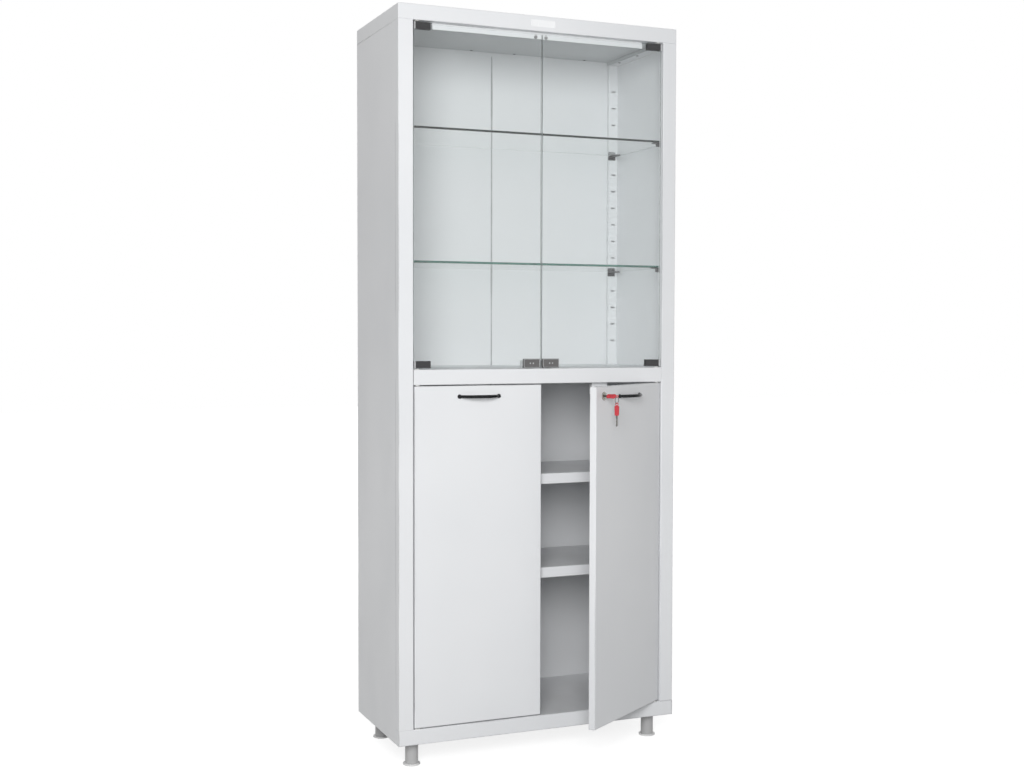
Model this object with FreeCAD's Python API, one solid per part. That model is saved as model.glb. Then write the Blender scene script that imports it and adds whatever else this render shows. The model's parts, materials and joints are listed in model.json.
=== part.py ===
"""Medical cabinet: a sheet-steel carcass on four levelling legs.

Two frameless glass doors close the upper compartment and two steel doors close the lower one.
Lengths are in millimetres. X runs to the right as seen from the front, Y runs to the back and
Z runs up. The origin is on the floor, under the middle of the carcass.
"""
import FreeCAD
import Part
import math
import os

# Whole cabinet
cabinet_width = 700.0
cabinet_depth = 320.0
leg_height = 56.5
base_rail_height = 35.0
lower_compartment_height = 778.5
mid_rail_height = 35.0
upper_compartment_height = 775.0
cap_height = 35.0

# Sheet metal and clearances
sheet = 1.0
bend_radius = 1.0
running_clearance = 0.05
touch_gap = 0.3
cut_overrun = 2.0

# Sides: flat walls, folded front posts and slotted channels in the rear corners
post_width = 35.0
post_depth = 22.0
post_lip = 15.0
rail_width = 26.0
rail_setback = 12.0

# Slots for the shelf clips
slot_width = 10.0
slot_height = 3.0
slot_end_margin = 40.0
front_slot_inset = 27.5
rear_slot_inset = 13.0

# Ceiling, back wall and the joint strip behind its seam
ceiling_rise = 9.0
ceiling_foot_inset = 14.0
ceiling_foot_width = 12.0
cap_side_return = 27.0
back_seam_gap = 3.0
back_top_flange = 16.0
joint_strip_width = 30.0

# Partition and base
partition_flange = 25.0
rail_end_gap = 0.5
base_return = 75.0

# Shelves and their clips
glass_shelf_thickness = 5.0
glass_shelf_rise = 240.0
glass_shelf_steps = 7
upper_slot_pitch = 43.0
steel_shelf_rise = 342.5
steel_shelf_steps = 5
lower_slot_pitch = 44.4
steel_shelf_flange = 25.0
steel_shelf_hem = 14.0
steel_shelf_notch = 44.0
shelf_front_gap = 4.0
shelf_back_gap = 10.0
shelf_end_gap = 3.0
clip_sheet = 1.5
clip_height = 10.5
clip_drop = 5.5
clip_outboard = 5.0
clip_inboard = 15.0
clip_front_reach = 24.0
clip_rear_reach = 30.0
clip_tab_width = 8.0
clip_hook_drop = 4.0
clip_play = 0.5

# Rivets
rivet_radius = 1.9
rivet_hole_radius = 2.0
rivet_head_radius = 3.4
rivet_head_height = 1.0
back_rivet_rows = 7
back_rivet_margin = 60.0
ceiling_rivet_rows = 3
ceiling_rivet_margin = 45.0
ceiling_rivet_near = 58.0
ceiling_rivet_far = 254.0

# Legs and levelling feet
leg_inset = 45.0
leg_radius = 15.0
leg_wall = 3.0
leg_top = 5.0
foot_radius = 20.0
foot_thickness = 4.0
foot_stem_length = 38.0
foot_edge_round = 1.2
leg_bolt_radius = 4.0
leg_bolt_head_radius = 6.5
leg_bolt_head_height = 5.0
leg_bolt_clearance = 0.2

# Glass doors
glass_setback = 6.0
glass_thickness = 5.0
glass_side_gap = 3.0
glass_meeting_gap = 3.0
glass_top_gap = 6.0
glass_bottom_gap = 6.0
glass_edge_round = 0.8
glass_pivot_inset = 8.0
glass_pin_radius = 2.5
glass_bush_radius = 4.0
glass_bush_flange_radius = 6.0
clamp_length = 40.0
clamp_height = 16.0
clamp_jaw = 3.0
clamp_bridge = 3.0
clamp_end = 1.0
clamp_edge_round = 0.6
clamp_screw_radius = 1.5
clamp_screw_head_radius = 2.6
clamp_screw_head_height = 1.2
clamp_screw_spacing = 18.0
clamp_screw_drop = 9.0
glass_stop_drop = 15.0
glass_stop_end_gap = 8.0
buffer_radius = 4.0
buffer_thickness = 5.6
buffer_offset = 13.0
buffer_rise = 4.0

# Touch latches and their catch plates on the glass doors
catch_width = 41.0
catch_height = 21.0
catch_sheet = 1.5
catch_inset = 2.5
catch_drop = 4.5
latch_width = 16.0
latch_height = 18.0
latch_depth = 40.0
latch_standoff = 5.5
plunger_radius = 4.0
plunger_length = 26.0
plunger_travel = 4.0
plunger_rise = 9.5

# Pivot bushes
bush_flange_thickness = 1.2
bush_length = 4.0
pin_engagement = 3.5

# Steel doors
door_thickness = 16.0
door_side_gap = 2.5
door_meeting_gap = 4.0
door_top_gap = 2.5
door_bottom_gap = 2.5
door_rest_angle = 34.0
liner_depth = 5.0
steel_pivot_inset = 9.0
steel_pivot_setback = 6.0
steel_pin_radius = 3.0
steel_pin_collar_radius = 4.0
steel_pin_collar_height = 8.0
steel_bush_radius = 4.5
steel_bush_flange_radius = 5.8
door_lug_gap = 2.0
door_lug_drop = 12.0

# Magnets of the steel doors
magnet_width = 40.0
magnet_depth = 12.0
magnet_drop = 16.0
magnet_top_gap = 2.0

# Handles
handle_spacing = 96.0
handle_reach = 26.0
handle_bar_radius = 3.6
handle_foot_radius = 5.0
handle_foot_height = 5.0
handle_drop = 24.5
handle_screw_radius = 2.0
handle_screw_head_radius = 3.8
handle_screw_head_height = 2.2
handle_screw_depth = 4.0

# Lock
lock_from_edge = 35.0
lock_drop = 21.5
rosette_radius = 10.0
rosette_thickness = 2.5
rosette_round = 1.5
barrel_radius = 8.0
barrel_fit = 0.1
plug_radius = 6.0
plug_proud = 0.5
plug_tail_radius = 4.0
lock_nut_radius = 12.5
lock_nut_thickness = 3.0
cam_thickness = 2.4
cam_reach = 29.0
cam_width = 12.0
cam_screw_radius = 1.6
cam_screw_head_radius = 5.0
cam_screw_head_height = 2.0
cam_screw_depth = 4.5

# Keys and their ring
key_rest_angle = -45.0
key_head_width = 11.5
key_head_length = 23.0
key_head_thickness = 5.0
key_head_round = 1.8
key_eyelet_radius = 4.0
key_eyelet_thickness = 1.2
key_eyelet_neck = 3.0
key_hole_radius = 2.2
key_blade_length = 24.0
key_blade_width = 4.6
key_blade_thickness = 1.8
key_blade_root = 3.0
keyway_fit = 0.1
key_gap = 4.0
ring_radius = 8.0
ring_wire_radius = 0.6
ring_seat = 0.1

# Bare plate on the top rail
plate_width = 60.0
plate_height = 16.0
plate_thickness = 0.8

# Places worked out from the sizes above
half_width = cabinet_width / 2
half_depth = cabinet_depth / 2
front = -half_depth
floor_top = leg_height + base_rail_height
mid_low = floor_top + lower_compartment_height
mid_top = mid_low + mid_rail_height
cap_low = mid_top + upper_compartment_height
cabinet_top = cap_low + cap_height
carcass_depth = cabinet_depth - 2 * sheet
opening_half = half_width - post_width
rail_front = carcass_depth - rail_setback
back_outer = half_width - sheet - bend_radius
ceiling_low = cap_low + ceiling_rise
ceiling_top = ceiling_low + sheet
ceiling_riser = half_width - ceiling_foot_inset - ceiling_foot_width

glass_low = mid_top + glass_bottom_gap
glass_high = cap_low - glass_top_gap
glass_inner = glass_meeting_gap / 2
glass_outer = opening_half - glass_side_gap
glass_pivot_out = glass_outer - glass_pivot_inset
glass_back = glass_setback + glass_thickness
glass_middle = glass_setback + glass_thickness / 2
glass_stop_back = glass_back + buffer_thickness + touch_gap
glass_stop_half = glass_outer + clamp_end - clamp_length - glass_stop_end_gap

door_low = floor_top + door_bottom_gap
door_high = mid_low - door_top_gap
door_inner = door_meeting_gap / 2
door_outer = opening_half - door_side_gap
door_middle = (door_inner + door_outer) / 2
steel_pivot_out = door_outer - steel_pivot_inset
door_lug_back = door_thickness + door_lug_gap
door_lug_low = mid_low - door_lug_drop
handle_height = door_high - handle_drop
lock_out = door_inner + lock_from_edge
lock_height = door_high - lock_drop
cam_front = door_lug_back + sheet + 2 * touch_gap
cam_back = cam_front + cam_thickness
key_hole_reach = rosette_thickness + plug_proud + key_gap + key_head_length + key_eyelet_neck

shelf_front = post_depth + shelf_front_gap
shelf_back = rail_front - shelf_back_gap
shelf_half = half_width - sheet - shelf_end_gap

LEFT = -1
RIGHT = 1
UP = FreeCAD.Vector(0, 0, 1)
BACK = FreeCAD.Vector(0, 1, 0)
ACROSS = FreeCAD.Vector(1, 0, 0)


def spot(side, out, back, up):
    """A point given by its distance from the middle, from the front face and from the floor."""
    return FreeCAD.Vector(side * out, front + back, up)


def block(corner, opposite):
    """A box between two opposite corners."""
    low = FreeCAD.Vector(*(min(pair) for pair in zip(corner, opposite)))
    high = FreeCAD.Vector(*(max(pair) for pair in zip(corner, opposite)))
    size = high.sub(low)
    return Part.makeBox(size.x, size.y, size.z, low)


def rod(radius, start, end):
    """A round bar from one point to another."""
    run = end.sub(start)
    return Part.makeCylinder(radius, run.Length, start, run)


def joined(first, *others):
    """One solid from pieces that overlap or touch."""
    return first.multiFuse(list(others)).removeSplitter()


def bored(shape, cutters):
    """A shape with a list of cutters taken out of it."""
    return shape.cut(Part.makeCompound(cutters))


def folded_sheet(path, place, travel):
    """A sheet bent along a path of points: its skin follows the path, its wall lies to the right.

    The path is given in two dimensions, place puts its points in space, and travel carries the
    section along. Both faces of a bend are arcs about one centre.
    """
    points = [FreeCAD.Vector(a, b, 0) for a, b in path]
    runs = [(b - a).normalize() for a, b in zip(points, points[1:])]
    rights = [FreeCAD.Vector(run.y, -run.x, 0) for run in runs]
    skin = [points[0]]
    wall = [points[0] + rights[0] * sheet]
    for i in range(1, len(runs)):
        turn = runs[i - 1].cross(runs[i]).z
        bow = bend_radius if turn > 0 else bend_radius + sheet
        trim = bow * math.tan(runs[i - 1].getAngle(runs[i]) / 2)
        start = points[i] - runs[i - 1] * trim
        end = points[i] + runs[i] * trim
        centre = start + rights[i - 1] * math.copysign(bow, -turn)
        outward = (points[i] - centre).normalize()
        other_bow = bow + math.copysign(sheet, turn)
        skin += [start, centre + outward * bow, end]
        wall += [start + rights[i - 1] * sheet, centre + outward * other_bow, end + rights[i] * sheet]
    skin.append(points[-1])
    wall.append(points[-1] + rights[-1] * sheet)
    outline = edges_through(skin, place)
    outline.append(straight(skin[-1], wall[-1], place))
    outline += edges_through(wall[::-1], place)
    outline.append(straight(wall[0], skin[0], place))
    return Part.Face(Part.Wire(outline)).extrude(travel)


def straight(start, end, place):
    """A straight edge between two points of a section."""
    return Part.LineSegment(place(start.x, start.y), place(end.x, end.y)).toShape()


def edges_through(points, place):
    """Edges along one skin of a bent sheet: straight runs with an arc of three points between them."""
    edges = [straight(points[0], points[1], place)]
    for i in range(1, len(points) - 1, 3):
        start, middle, end = (place(p.x, p.y) for p in points[i:i + 3])
        edges.append(Part.Arc(start, middle, end).toShape())
        edges.append(straight(points[i + 2], points[i + 3], place))
    return edges


def lying(side):
    """Place a section in plan at floor level: first inwards from the side face, then backwards."""
    return lambda inward, back: spot(side, half_width - inward, back, floor_top)


def upright(out):
    """Place a section seen from the side: first backwards, then upwards."""
    return lambda back, up: spot(RIGHT, out, back, up)


def facing(back):
    """Place a section seen from the front: first to the right, then upwards."""
    return lambda out, up: spot(RIGHT, out, back, up)


def slot_heights():
    """Heights of the slots, stepped up and down from the lower shelf of each compartment."""
    ladders = [
        (mid_top, glass_shelf_rise, upper_slot_pitch, upper_compartment_height),
        (floor_top, steel_shelf_rise, lower_slot_pitch, lower_compartment_height),
    ]
    heights = []
    for base, rise, pitch, space in ladders:
        below = int((rise - slot_end_margin) / pitch)
        above = int((space - rise - slot_end_margin) / pitch)
        heights += [base + rise - clip_drop + step * pitch for step in range(-below, above + 1)]
    return heights


def spaced(low, high, count):
    """Evenly spaced places from low to high, both included."""
    return [low + (high - low) * i / (count - 1) for i in range(count)]


def rivet(seat, outward, grip):
    """A rivet: a rounded head on its seat and a shank through the sheets behind it."""
    head = rod(rivet_head_radius, seat, seat + outward * rivet_head_height)
    rim = [e for e in head.Edges if (e.CenterOfMass - seat).dot(outward) > rivet_head_height / 2]
    head = head.makeFillet(rivet_head_height / 2, rim[:1])
    return joined(head, rod(rivet_radius, seat, seat - outward * grip))


def rivet_hole(seat, outward, grip):
    """The hole that a rivet's shank passes through."""
    margin = outward * cut_overrun
    return rod(rivet_hole_radius, seat + margin, seat - outward * grip - margin)


def back_rivet_seats(side):
    """Rivets down the rear edge, through a back panel and the corner channel in front of it."""
    rows = spaced(floor_top + back_rivet_margin, cap_low - back_rivet_margin, back_rivet_rows)
    out = half_width - rail_width / 2
    return [spot(side, out, carcass_depth + sheet, up) for up in rows]


def ceiling_rear_seats(side):
    """Rivets that hold the ceiling's rear edge to a back panel's top flange."""
    back = carcass_depth - back_top_flange / 2
    return [spot(side, out, back, ceiling_low) for out in (ceiling_rivet_near, ceiling_rivet_far)]


def ceiling_foot_seats(side):
    """Rivets under the cap's side return, through the ceiling's foot that stands on it."""
    inset = ceiling_foot_inset + ceiling_foot_width / 2
    first = post_depth + ceiling_rivet_margin
    rows = spaced(first, rail_front - ceiling_rivet_margin, ceiling_rivet_rows)
    return [spot(side, half_width - inset, back, cap_low) for back in rows]


def side_wall(side):
    """A flat side sheet that meets the front post edge to edge, with a skirt below the post."""
    high = spot(side, half_width - sheet, carcass_depth, cap_low)
    wall = block(spot(side, half_width, post_depth, leg_height), high)
    skirt_high = spot(side, half_width - sheet, post_depth, floor_top)
    return joined(wall, block(spot(side, half_width, 0, leg_height), skirt_high))


def front_posts():
    """Two folded posts: each turns round the front corner and has a slotted lip behind it."""
    section = [
        (post_width - post_lip, post_depth),
        (post_width, post_depth),
        (post_width, 0),
        (0, 0),
        (0, post_depth),
    ]
    posts = []
    for side in (LEFT, RIGHT):
        post = folded_sheet(section, lying(side), UP * (cap_low - floor_top))
        posts.append(bored(post, clip_slots(side, front_slot_inset, post_depth - sheet)))
    return Part.makeCompound(posts)


def corner_rails():
    """Two channels in the rear corners: a slotted face, and a rear face that carries the back wall."""
    section = [
        (sheet, carcass_depth),
        (rail_width, carcass_depth),
        (rail_width, rail_front),
        (sheet, rail_front),
    ]
    rails = []
    for side in (LEFT, RIGHT):
        rail = folded_sheet(section, lying(side), UP * (cap_low - floor_top))
        holes = [rivet_hole(seat, BACK, 2 * sheet) for seat in back_rivet_seats(side)]
        rails.append(bored(rail, holes + clip_slots(side, rear_slot_inset, rail_front)))
    return Part.makeCompound(rails)


def clip_slots(side, inset, face):
    """Slots through a sheet whose front is at face, one at every slot height."""
    half = FreeCAD.Vector(slot_width / 2, 0, slot_height / 2)
    slots = []
    for up in slot_heights():
        start = spot(side, half_width - inset, face - cut_overrun, up)
        end = spot(side, half_width - inset, face + sheet + cut_overrun, up)
        slots.append(block(start - half, end + half))
    return slots


def top_cap():
    """A tray turned over, with returns under its front rail and its sides, and a stop for the glass doors."""
    outer = block(spot(LEFT, half_width, 0, cap_low), spot(RIGHT, half_width, cabinet_depth, cabinet_top))
    hollow_low = spot(LEFT, half_width - sheet, sheet, cap_low - cut_overrun)
    hollow = block(hollow_low, spot(RIGHT, half_width - sheet, cabinet_depth - sheet, cabinet_top - sheet))
    hollow = hollow.makeFillet(bend_radius, edges_above(hollow, cap_low))
    inside = half_width - sheet / 2
    stop_end = glass_stop_back + sheet
    return_low = spot(LEFT, inside, sheet / 2, cap_low)
    returns = [block(return_low, spot(RIGHT, inside, stop_end, cap_low + sheet))]
    for side in (LEFT, RIGHT):
        low = spot(side, inside, sheet, cap_low)
        high = spot(side, half_width - cap_side_return, carcass_depth - sheet, cap_low + sheet)
        returns.append(block(low, high))
    rounded = outer.makeFillet(bend_radius + sheet, outer.Edges)
    cap = joined(outer.cut(hollow), *returns).common(rounded)
    stop_low = spot(LEFT, glass_stop_half, glass_stop_back, cap_low - glass_stop_drop)
    cap = joined(cap, block(stop_low, spot(RIGHT, glass_stop_half, stop_end, cap_low + sheet)))
    holes = [glass_bush_hole(side, cap_low) for side in (LEFT, RIGHT)]
    for side in (LEFT, RIGHT):
        holes += [rivet_hole(seat, -UP, 2 * sheet) for seat in ceiling_foot_seats(side)]
    return bored(cap, holes)


def edges_above(shape, height):
    """Edges of a shape whose middle lies above a height."""
    return [edge for edge in shape.Edges if edge.CenterOfMass.z > height]


def ceiling_panel():
    """A shallow raised panel whose two feet stand on the cap's side returns."""
    foot_end = half_width - ceiling_foot_inset
    foot_top = cap_low + 2 * sheet
    section = [
        (-foot_end, foot_top),
        (-ceiling_riser, foot_top),
        (-ceiling_riser, ceiling_top),
        (ceiling_riser, ceiling_top),
        (ceiling_riser, foot_top),
        (foot_end, foot_top),
    ]
    start = post_depth + sheet
    panel = folded_sheet(section, facing(start), BACK * (carcass_depth - sheet - start))
    holes = []
    for side in (LEFT, RIGHT):
        holes += [rivet_hole(seat, -UP, sheet) for seat in ceiling_rear_seats(side)]
        holes += [rivet_hole(seat, -UP, 2 * sheet) for seat in ceiling_foot_seats(side)]
    return bored(panel, holes)


def back_panel(side):
    """Half of the back wall, with a flange that lies on the ceiling's rear edge."""
    section = [
        (carcass_depth, leg_height),
        (carcass_depth, ceiling_top),
        (carcass_depth - back_top_flange, ceiling_top),
    ]
    inner = back_seam_gap / 2
    flange_end = ceiling_riser - bend_radius - sheet
    panel = folded_sheet(section, upright(side * inner), ACROSS * (side * (flange_end - inner)))
    wing_low = spot(side, flange_end, carcass_depth, leg_height)
    panel = joined(panel, block(wing_low, spot(side, back_outer, carcass_depth + sheet, ceiling_low)))
    holes = [rivet_hole(seat, BACK, 2 * sheet) for seat in back_rivet_seats(side)]
    holes += [rivet_hole(seat, -UP, 2 * sheet) for seat in ceiling_rear_seats(side)]
    return bored(panel, holes)


def back_joint_strip():
    """A flat strip behind the seam of the back wall."""
    low = spot(LEFT, joint_strip_width / 2, carcass_depth + sheet, leg_height)
    return block(low, spot(RIGHT, joint_strip_width / 2, cabinet_depth, cap_low))


def carcass_rivets():
    """All rivets of the carcass."""
    rivets = []
    for side in (LEFT, RIGHT):
        rivets += [rivet(seat, BACK, 2 * sheet) for seat in back_rivet_seats(side)]
        seats = ceiling_rear_seats(side) + ceiling_foot_seats(side)
        rivets += [rivet(seat, -UP, 2 * sheet) for seat in seats]
    return Part.makeCompound(rivets)


def mid_partition():
    """The middle rail between the posts, the sheet behind it and a lug in front of each magnet."""
    half = opening_half - rail_end_gap
    lug_end = door_lug_back + sheet
    section = [
        (lug_end, mid_low),
        (0, mid_low),
        (0, mid_top),
        (carcass_depth, mid_top),
        (carcass_depth, mid_top - partition_flange),
    ]
    rail = folded_sheet(section, upright(-half), ACROSS * (2 * half))
    start = post_depth + sheet
    reach = rail_front - sheet - start
    folds = []
    for side in (LEFT, RIGHT):
        lug_low = spot(side, door_middle - magnet_width / 2, door_lug_back, door_lug_low)
        folds.append(block(lug_low, spot(side, door_middle + magnet_width / 2, lug_end, mid_low + sheet)))
        edge = half_width - sheet
        far_top = spot(side, edge, start + reach, mid_top)
        folds.append(block(spot(side, half - sheet, start, mid_top - sheet), far_top))
        folds.append(block(spot(side, edge - sheet, start, mid_top - partition_flange), far_top))
    partition = joined(rail, *folds)
    holes = [glass_bush_hole(side, mid_top) for side in (LEFT, RIGHT)]
    holes += [steel_bush_hole(side, mid_low) for side in (LEFT, RIGHT)]
    return bored(partition, holes)


def leg_spots():
    """The four leg centres at floor level."""
    names = {LEFT: "left", RIGHT: "right"}
    rows = {"front": leg_inset, "rear": cabinet_depth - leg_inset}
    places = {}
    for row, back in rows.items():
        for side, name in names.items():
            places[row + "_" + name] = spot(side, half_width - leg_inset, back, 0)
    return places


def base_tray():
    """The base rail and floor, bent from one sheet, with returns that carry the legs."""
    section = [
        (base_return, leg_height),
        (0, leg_height),
        (0, floor_top),
        (carcass_depth, floor_top),
        (carcass_depth, leg_height),
        (carcass_depth - base_return, leg_height),
    ]
    half = half_width - sheet
    tray = folded_sheet(section, upright(-half), ACROSS * (2 * half))
    holes = [steel_bush_hole(side, floor_top) for side in (LEFT, RIGHT)]
    for place in leg_spots().values():
        seat = place + UP * leg_height
        radius = leg_bolt_radius + leg_bolt_clearance
        holes.append(rod(radius, seat - UP * cut_overrun, seat + UP * (sheet + cut_overrun)))
    return bored(tray, holes)


def leg_tubes():
    """Four leg tubes under the base, open below for the stems of the feet."""
    tubes = []
    for place in leg_spots().values():
        low = place + UP * (foot_thickness + touch_gap)
        high = place + UP * leg_height
        bore_end = high - UP * leg_top
        bore = rod(leg_radius - leg_wall, low - UP * cut_overrun, bore_end)
        bolt_hole = rod(leg_bolt_radius, bore_end - UP * cut_overrun, high + UP * cut_overrun)
        tubes.append(bored(rod(leg_radius, low, high), [bore, bolt_hole]))
    return Part.makeCompound(tubes)


def leg_bolts():
    """Four bolts that hold the legs to the base returns."""
    bolts = []
    for place in leg_spots().values():
        seat = place + UP * (leg_height + sheet)
        head = rod(leg_bolt_head_radius, seat, seat + UP * leg_bolt_head_height)
        bolts.append(joined(head, rod(leg_bolt_radius, seat, place + UP * (leg_height - leg_top))))
    return Part.makeCompound(bolts)


def levelling_foot(place):
    """A round foot with a stem that slides in its leg tube."""
    disc = rod(foot_radius, place, place + UP * foot_thickness)
    rim = edges_above(disc, foot_thickness / 2)
    rim = [edge for edge in rim if edge.Closed]
    disc = disc.makeFillet(foot_edge_round, rim)
    stem_radius = leg_radius - leg_wall - running_clearance
    stem_end = place + UP * (foot_thickness + foot_stem_length)
    return joined(disc, rod(stem_radius, place + UP * (foot_thickness / 2), stem_end))


def glass_shelf(underside):
    """A plain glass shelf."""
    low = spot(LEFT, shelf_half, shelf_front, underside)
    shelf = block(low, spot(RIGHT, shelf_half, shelf_back, underside + glass_shelf_thickness))
    return shelf.makeFillet(glass_edge_round, shelf.Edges)


def steel_shelf(underside):
    """A steel shelf with a hemmed front flange and a rear flange, notched over the clips."""
    top = underside + sheet
    flange_low = top - steel_shelf_flange
    section = [
        (shelf_front + steel_shelf_hem, flange_low),
        (shelf_front, flange_low),
        (shelf_front, top),
        (shelf_back, top),
        (shelf_back, flange_low),
    ]
    half = half_width - steel_shelf_notch
    shelf = folded_sheet(section, upright(-half), ACROSS * (2 * half))
    ends = []
    for side in (LEFT, RIGHT):
        low = spot(side, half - sheet, shelf_front + sheet + bend_radius, underside)
        ends.append(block(low, spot(side, shelf_half, shelf_back - sheet - bend_radius, top)))
    return joined(shelf, *ends)


def glass_shelf_undersides():
    """Undersides of the two glass shelves, lower one first."""
    low = mid_top + glass_shelf_rise
    return low, low + glass_shelf_steps * upper_slot_pitch


def steel_shelf_undersides():
    """Undersides of the two steel shelves' sheets, lower one first."""
    low = floor_top + steel_shelf_rise
    return low, low + steel_shelf_steps * lower_slot_pitch


def shelf_clip(side, inset, face, way, reach, underside):
    """A bent clip: a plate on the slotted sheet, a tongue under the shelf and a hook in the slot."""
    outer = half_width - inset + clip_outboard
    inner = half_width - inset - clip_inboard
    slot = underside - clip_drop
    tab = clip_tab_width / 2
    tab_out = half_width - inset
    behind = -way * (sheet + clip_play)
    hook_end = behind - way * clip_sheet

    def plate(out_a, back_a, up_a, out_b, back_b, up_b):
        return block(spot(side, out_a, face + back_a, up_a), spot(side, out_b, face + back_b, up_b))

    web = plate(outer, 0, underside - clip_height, inner, way * clip_sheet, underside)
    tongue = plate(outer, 0, underside - clip_sheet, inner, way * reach, underside)
    half_tab = clip_sheet / 2
    neck = plate(tab_out + tab, 0, slot - half_tab, tab_out - tab, hook_end, slot + half_tab)
    hook = plate(tab_out + tab, behind, slot - clip_hook_drop, tab_out - tab, hook_end, slot + half_tab)
    return joined(web, tongue, neck, hook)


def shelf_clips():
    """Four clips under each of the four shelves."""
    clips = []
    for underside in glass_shelf_undersides() + steel_shelf_undersides():
        for side in (LEFT, RIGHT):
            clips.append(shelf_clip(side, front_slot_inset, post_depth, 1, clip_front_reach, underside))
            clips.append(shelf_clip(side, rear_slot_inset, rail_front, -1, clip_rear_reach, underside))
    return Part.makeCompound(clips)


def glass_pivot(side, up):
    """A point on a glass door's hinge axis."""
    return spot(side, glass_pivot_out, glass_middle, up)


def steel_pivot(side, up):
    """A point on a steel door's hinge axis."""
    return spot(side, steel_pivot_out, steel_pivot_setback, up)


def glass_bush_hole(side, up):
    """The hole for a glass door's bush in a level sheet."""
    point = glass_pivot(side, up)
    return rod(glass_bush_radius, point - UP * cut_overrun, point + UP * cut_overrun)


def steel_bush_hole(side, up):
    """The hole for a steel door's bush in a level sheet."""
    point = steel_pivot(side, up)
    return rod(steel_bush_radius, point - UP * cut_overrun, point + UP * cut_overrun)


def bush(seat, inwards, radius, flange_radius, pin_radius):
    """A flanged bush: its flange lies on the sheet at seat and its body goes inwards through it."""
    flange = rod(flange_radius, seat - inwards * bush_flange_thickness, seat)
    body = rod(radius, seat, seat + inwards * bush_length)
    bore_start = seat - inwards * (bush_flange_thickness + cut_overrun)
    bore = rod(pin_radius + running_clearance, bore_start, seat + inwards * (bush_length + cut_overrun))
    return joined(flange, body).cut(bore)


def pivot_bushes():
    """Eight bushes: above and below each of the four doors."""
    glass_radii = (glass_bush_radius, glass_bush_flange_radius, glass_pin_radius)
    steel_radii = (steel_bush_radius, steel_bush_flange_radius, steel_pin_radius)
    bushes = []
    for side in (LEFT, RIGHT):
        for up, inwards in ((cap_low, UP), (mid_top, -UP)):
            bushes.append(bush(glass_pivot(side, up), inwards, *glass_radii))
        for up, inwards in ((mid_low, UP), (floor_top, -UP)):
            bushes.append(bush(steel_pivot(side, up), inwards, *steel_radii))
    return Part.makeCompound(bushes)


def glass_pane(side):
    """One frameless door pane."""
    low = spot(side, glass_inner, glass_setback, glass_low)
    pane = block(low, spot(side, glass_outer, glass_back, glass_high))
    return pane.makeFillet(glass_edge_round, pane.Edges)


def clamp_ends():
    """For the top and the bottom clamp: the pane's edge there and the way that leads out of it."""
    return (glass_high, 1), (glass_low, -1)


def clamp_screw_seats(side, edge, way):
    """Screws on the inner jaw of one clamp."""
    middle = glass_outer + clamp_end - clamp_length / 2
    outs = (middle - clamp_screw_spacing / 2, middle + clamp_screw_spacing / 2)
    up = edge + way * (clamp_bridge - clamp_screw_drop)
    return [spot(side, out, glass_back + clamp_jaw, up) for out in outs]


def glass_clamps(side):
    """Two hinge clamps that grip a pane's outer corners."""
    clamps = []
    slot_low = spot(side, glass_inner, glass_setback, glass_low)
    slot = block(slot_low, spot(side, glass_outer, glass_back, glass_high))
    outer = glass_outer + clamp_end
    for edge, way in clamp_ends():
        tip = edge + way * clamp_bridge
        corner = spot(side, outer, glass_setback - clamp_jaw, tip)
        far_corner = spot(side, outer - clamp_length, glass_back + clamp_jaw, tip - way * clamp_height)
        body = block(corner, far_corner)
        body = body.makeFillet(clamp_edge_round, body.Edges)
        pin_end = glass_pivot(side, tip + way * cut_overrun)
        holes = [slot, rod(glass_pin_radius, glass_pivot(side, edge), pin_end)]
        for seat in clamp_screw_seats(side, edge, way):
            holes.append(rod(clamp_screw_radius, seat - BACK * clamp_jaw, seat + BACK * cut_overrun))
        clamps.append(bored(body, holes))
    return Part.makeCompound(clamps)


def glass_pivot_pins(side):
    """Two pins, one in each clamp, that turn in the bushes."""
    pins = []
    for edge, way in clamp_ends():
        gap = glass_top_gap if way > 0 else glass_bottom_gap
        pin_end = glass_pivot(side, edge + way * (gap + pin_engagement))
        pins.append(rod(glass_pin_radius, glass_pivot(side, edge), pin_end))
    return Part.makeCompound(pins)


def clamp_screws(side):
    """The four screws of one glass door's clamps."""
    screws = []
    for edge, way in clamp_ends():
        for seat in clamp_screw_seats(side, edge, way):
            head = rod(clamp_screw_head_radius, seat, seat + BACK * clamp_screw_head_height)
            screws.append(joined(head, rod(clamp_screw_radius, seat, seat - BACK * clamp_jaw)))
    return Part.makeCompound(screws)


def catch_plate(side):
    """A plate bent round the lower inner corner of a pane, for the latch to hold."""
    inner = glass_inner + catch_inset
    bottom = glass_low - catch_drop
    low = spot(side, inner, glass_setback - catch_sheet, bottom)
    high = spot(side, inner + catch_width, glass_back + catch_sheet, bottom + catch_height)
    plate = block(low, high)
    plate = plate.makeFillet(clamp_edge_round, plate.Edges)
    slot_low = spot(side, inner - cut_overrun, glass_setback, glass_low)
    slot_high = spot(side, inner + catch_width + cut_overrun, glass_back, glass_low + catch_height)
    return plate.cut(block(slot_low, slot_high))


def plunger_front(side):
    """The middle of a plunger's face, just behind the catch plate."""
    out = glass_inner + catch_inset + catch_width / 2
    return spot(side, out, glass_back + catch_sheet + touch_gap, mid_top + plunger_rise)


def latch_plunger(side):
    """A round plunger that the door pushes in, with a rounded face."""
    start = plunger_front(side)
    plunger = rod(plunger_radius, start, start + BACK * plunger_length)
    rim = [edge for edge in plunger.Edges if edge.Closed and edge.CenterOfMass.y < start.y + plunger_radius]
    return plunger.makeFillet(clamp_edge_round, rim)


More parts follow.
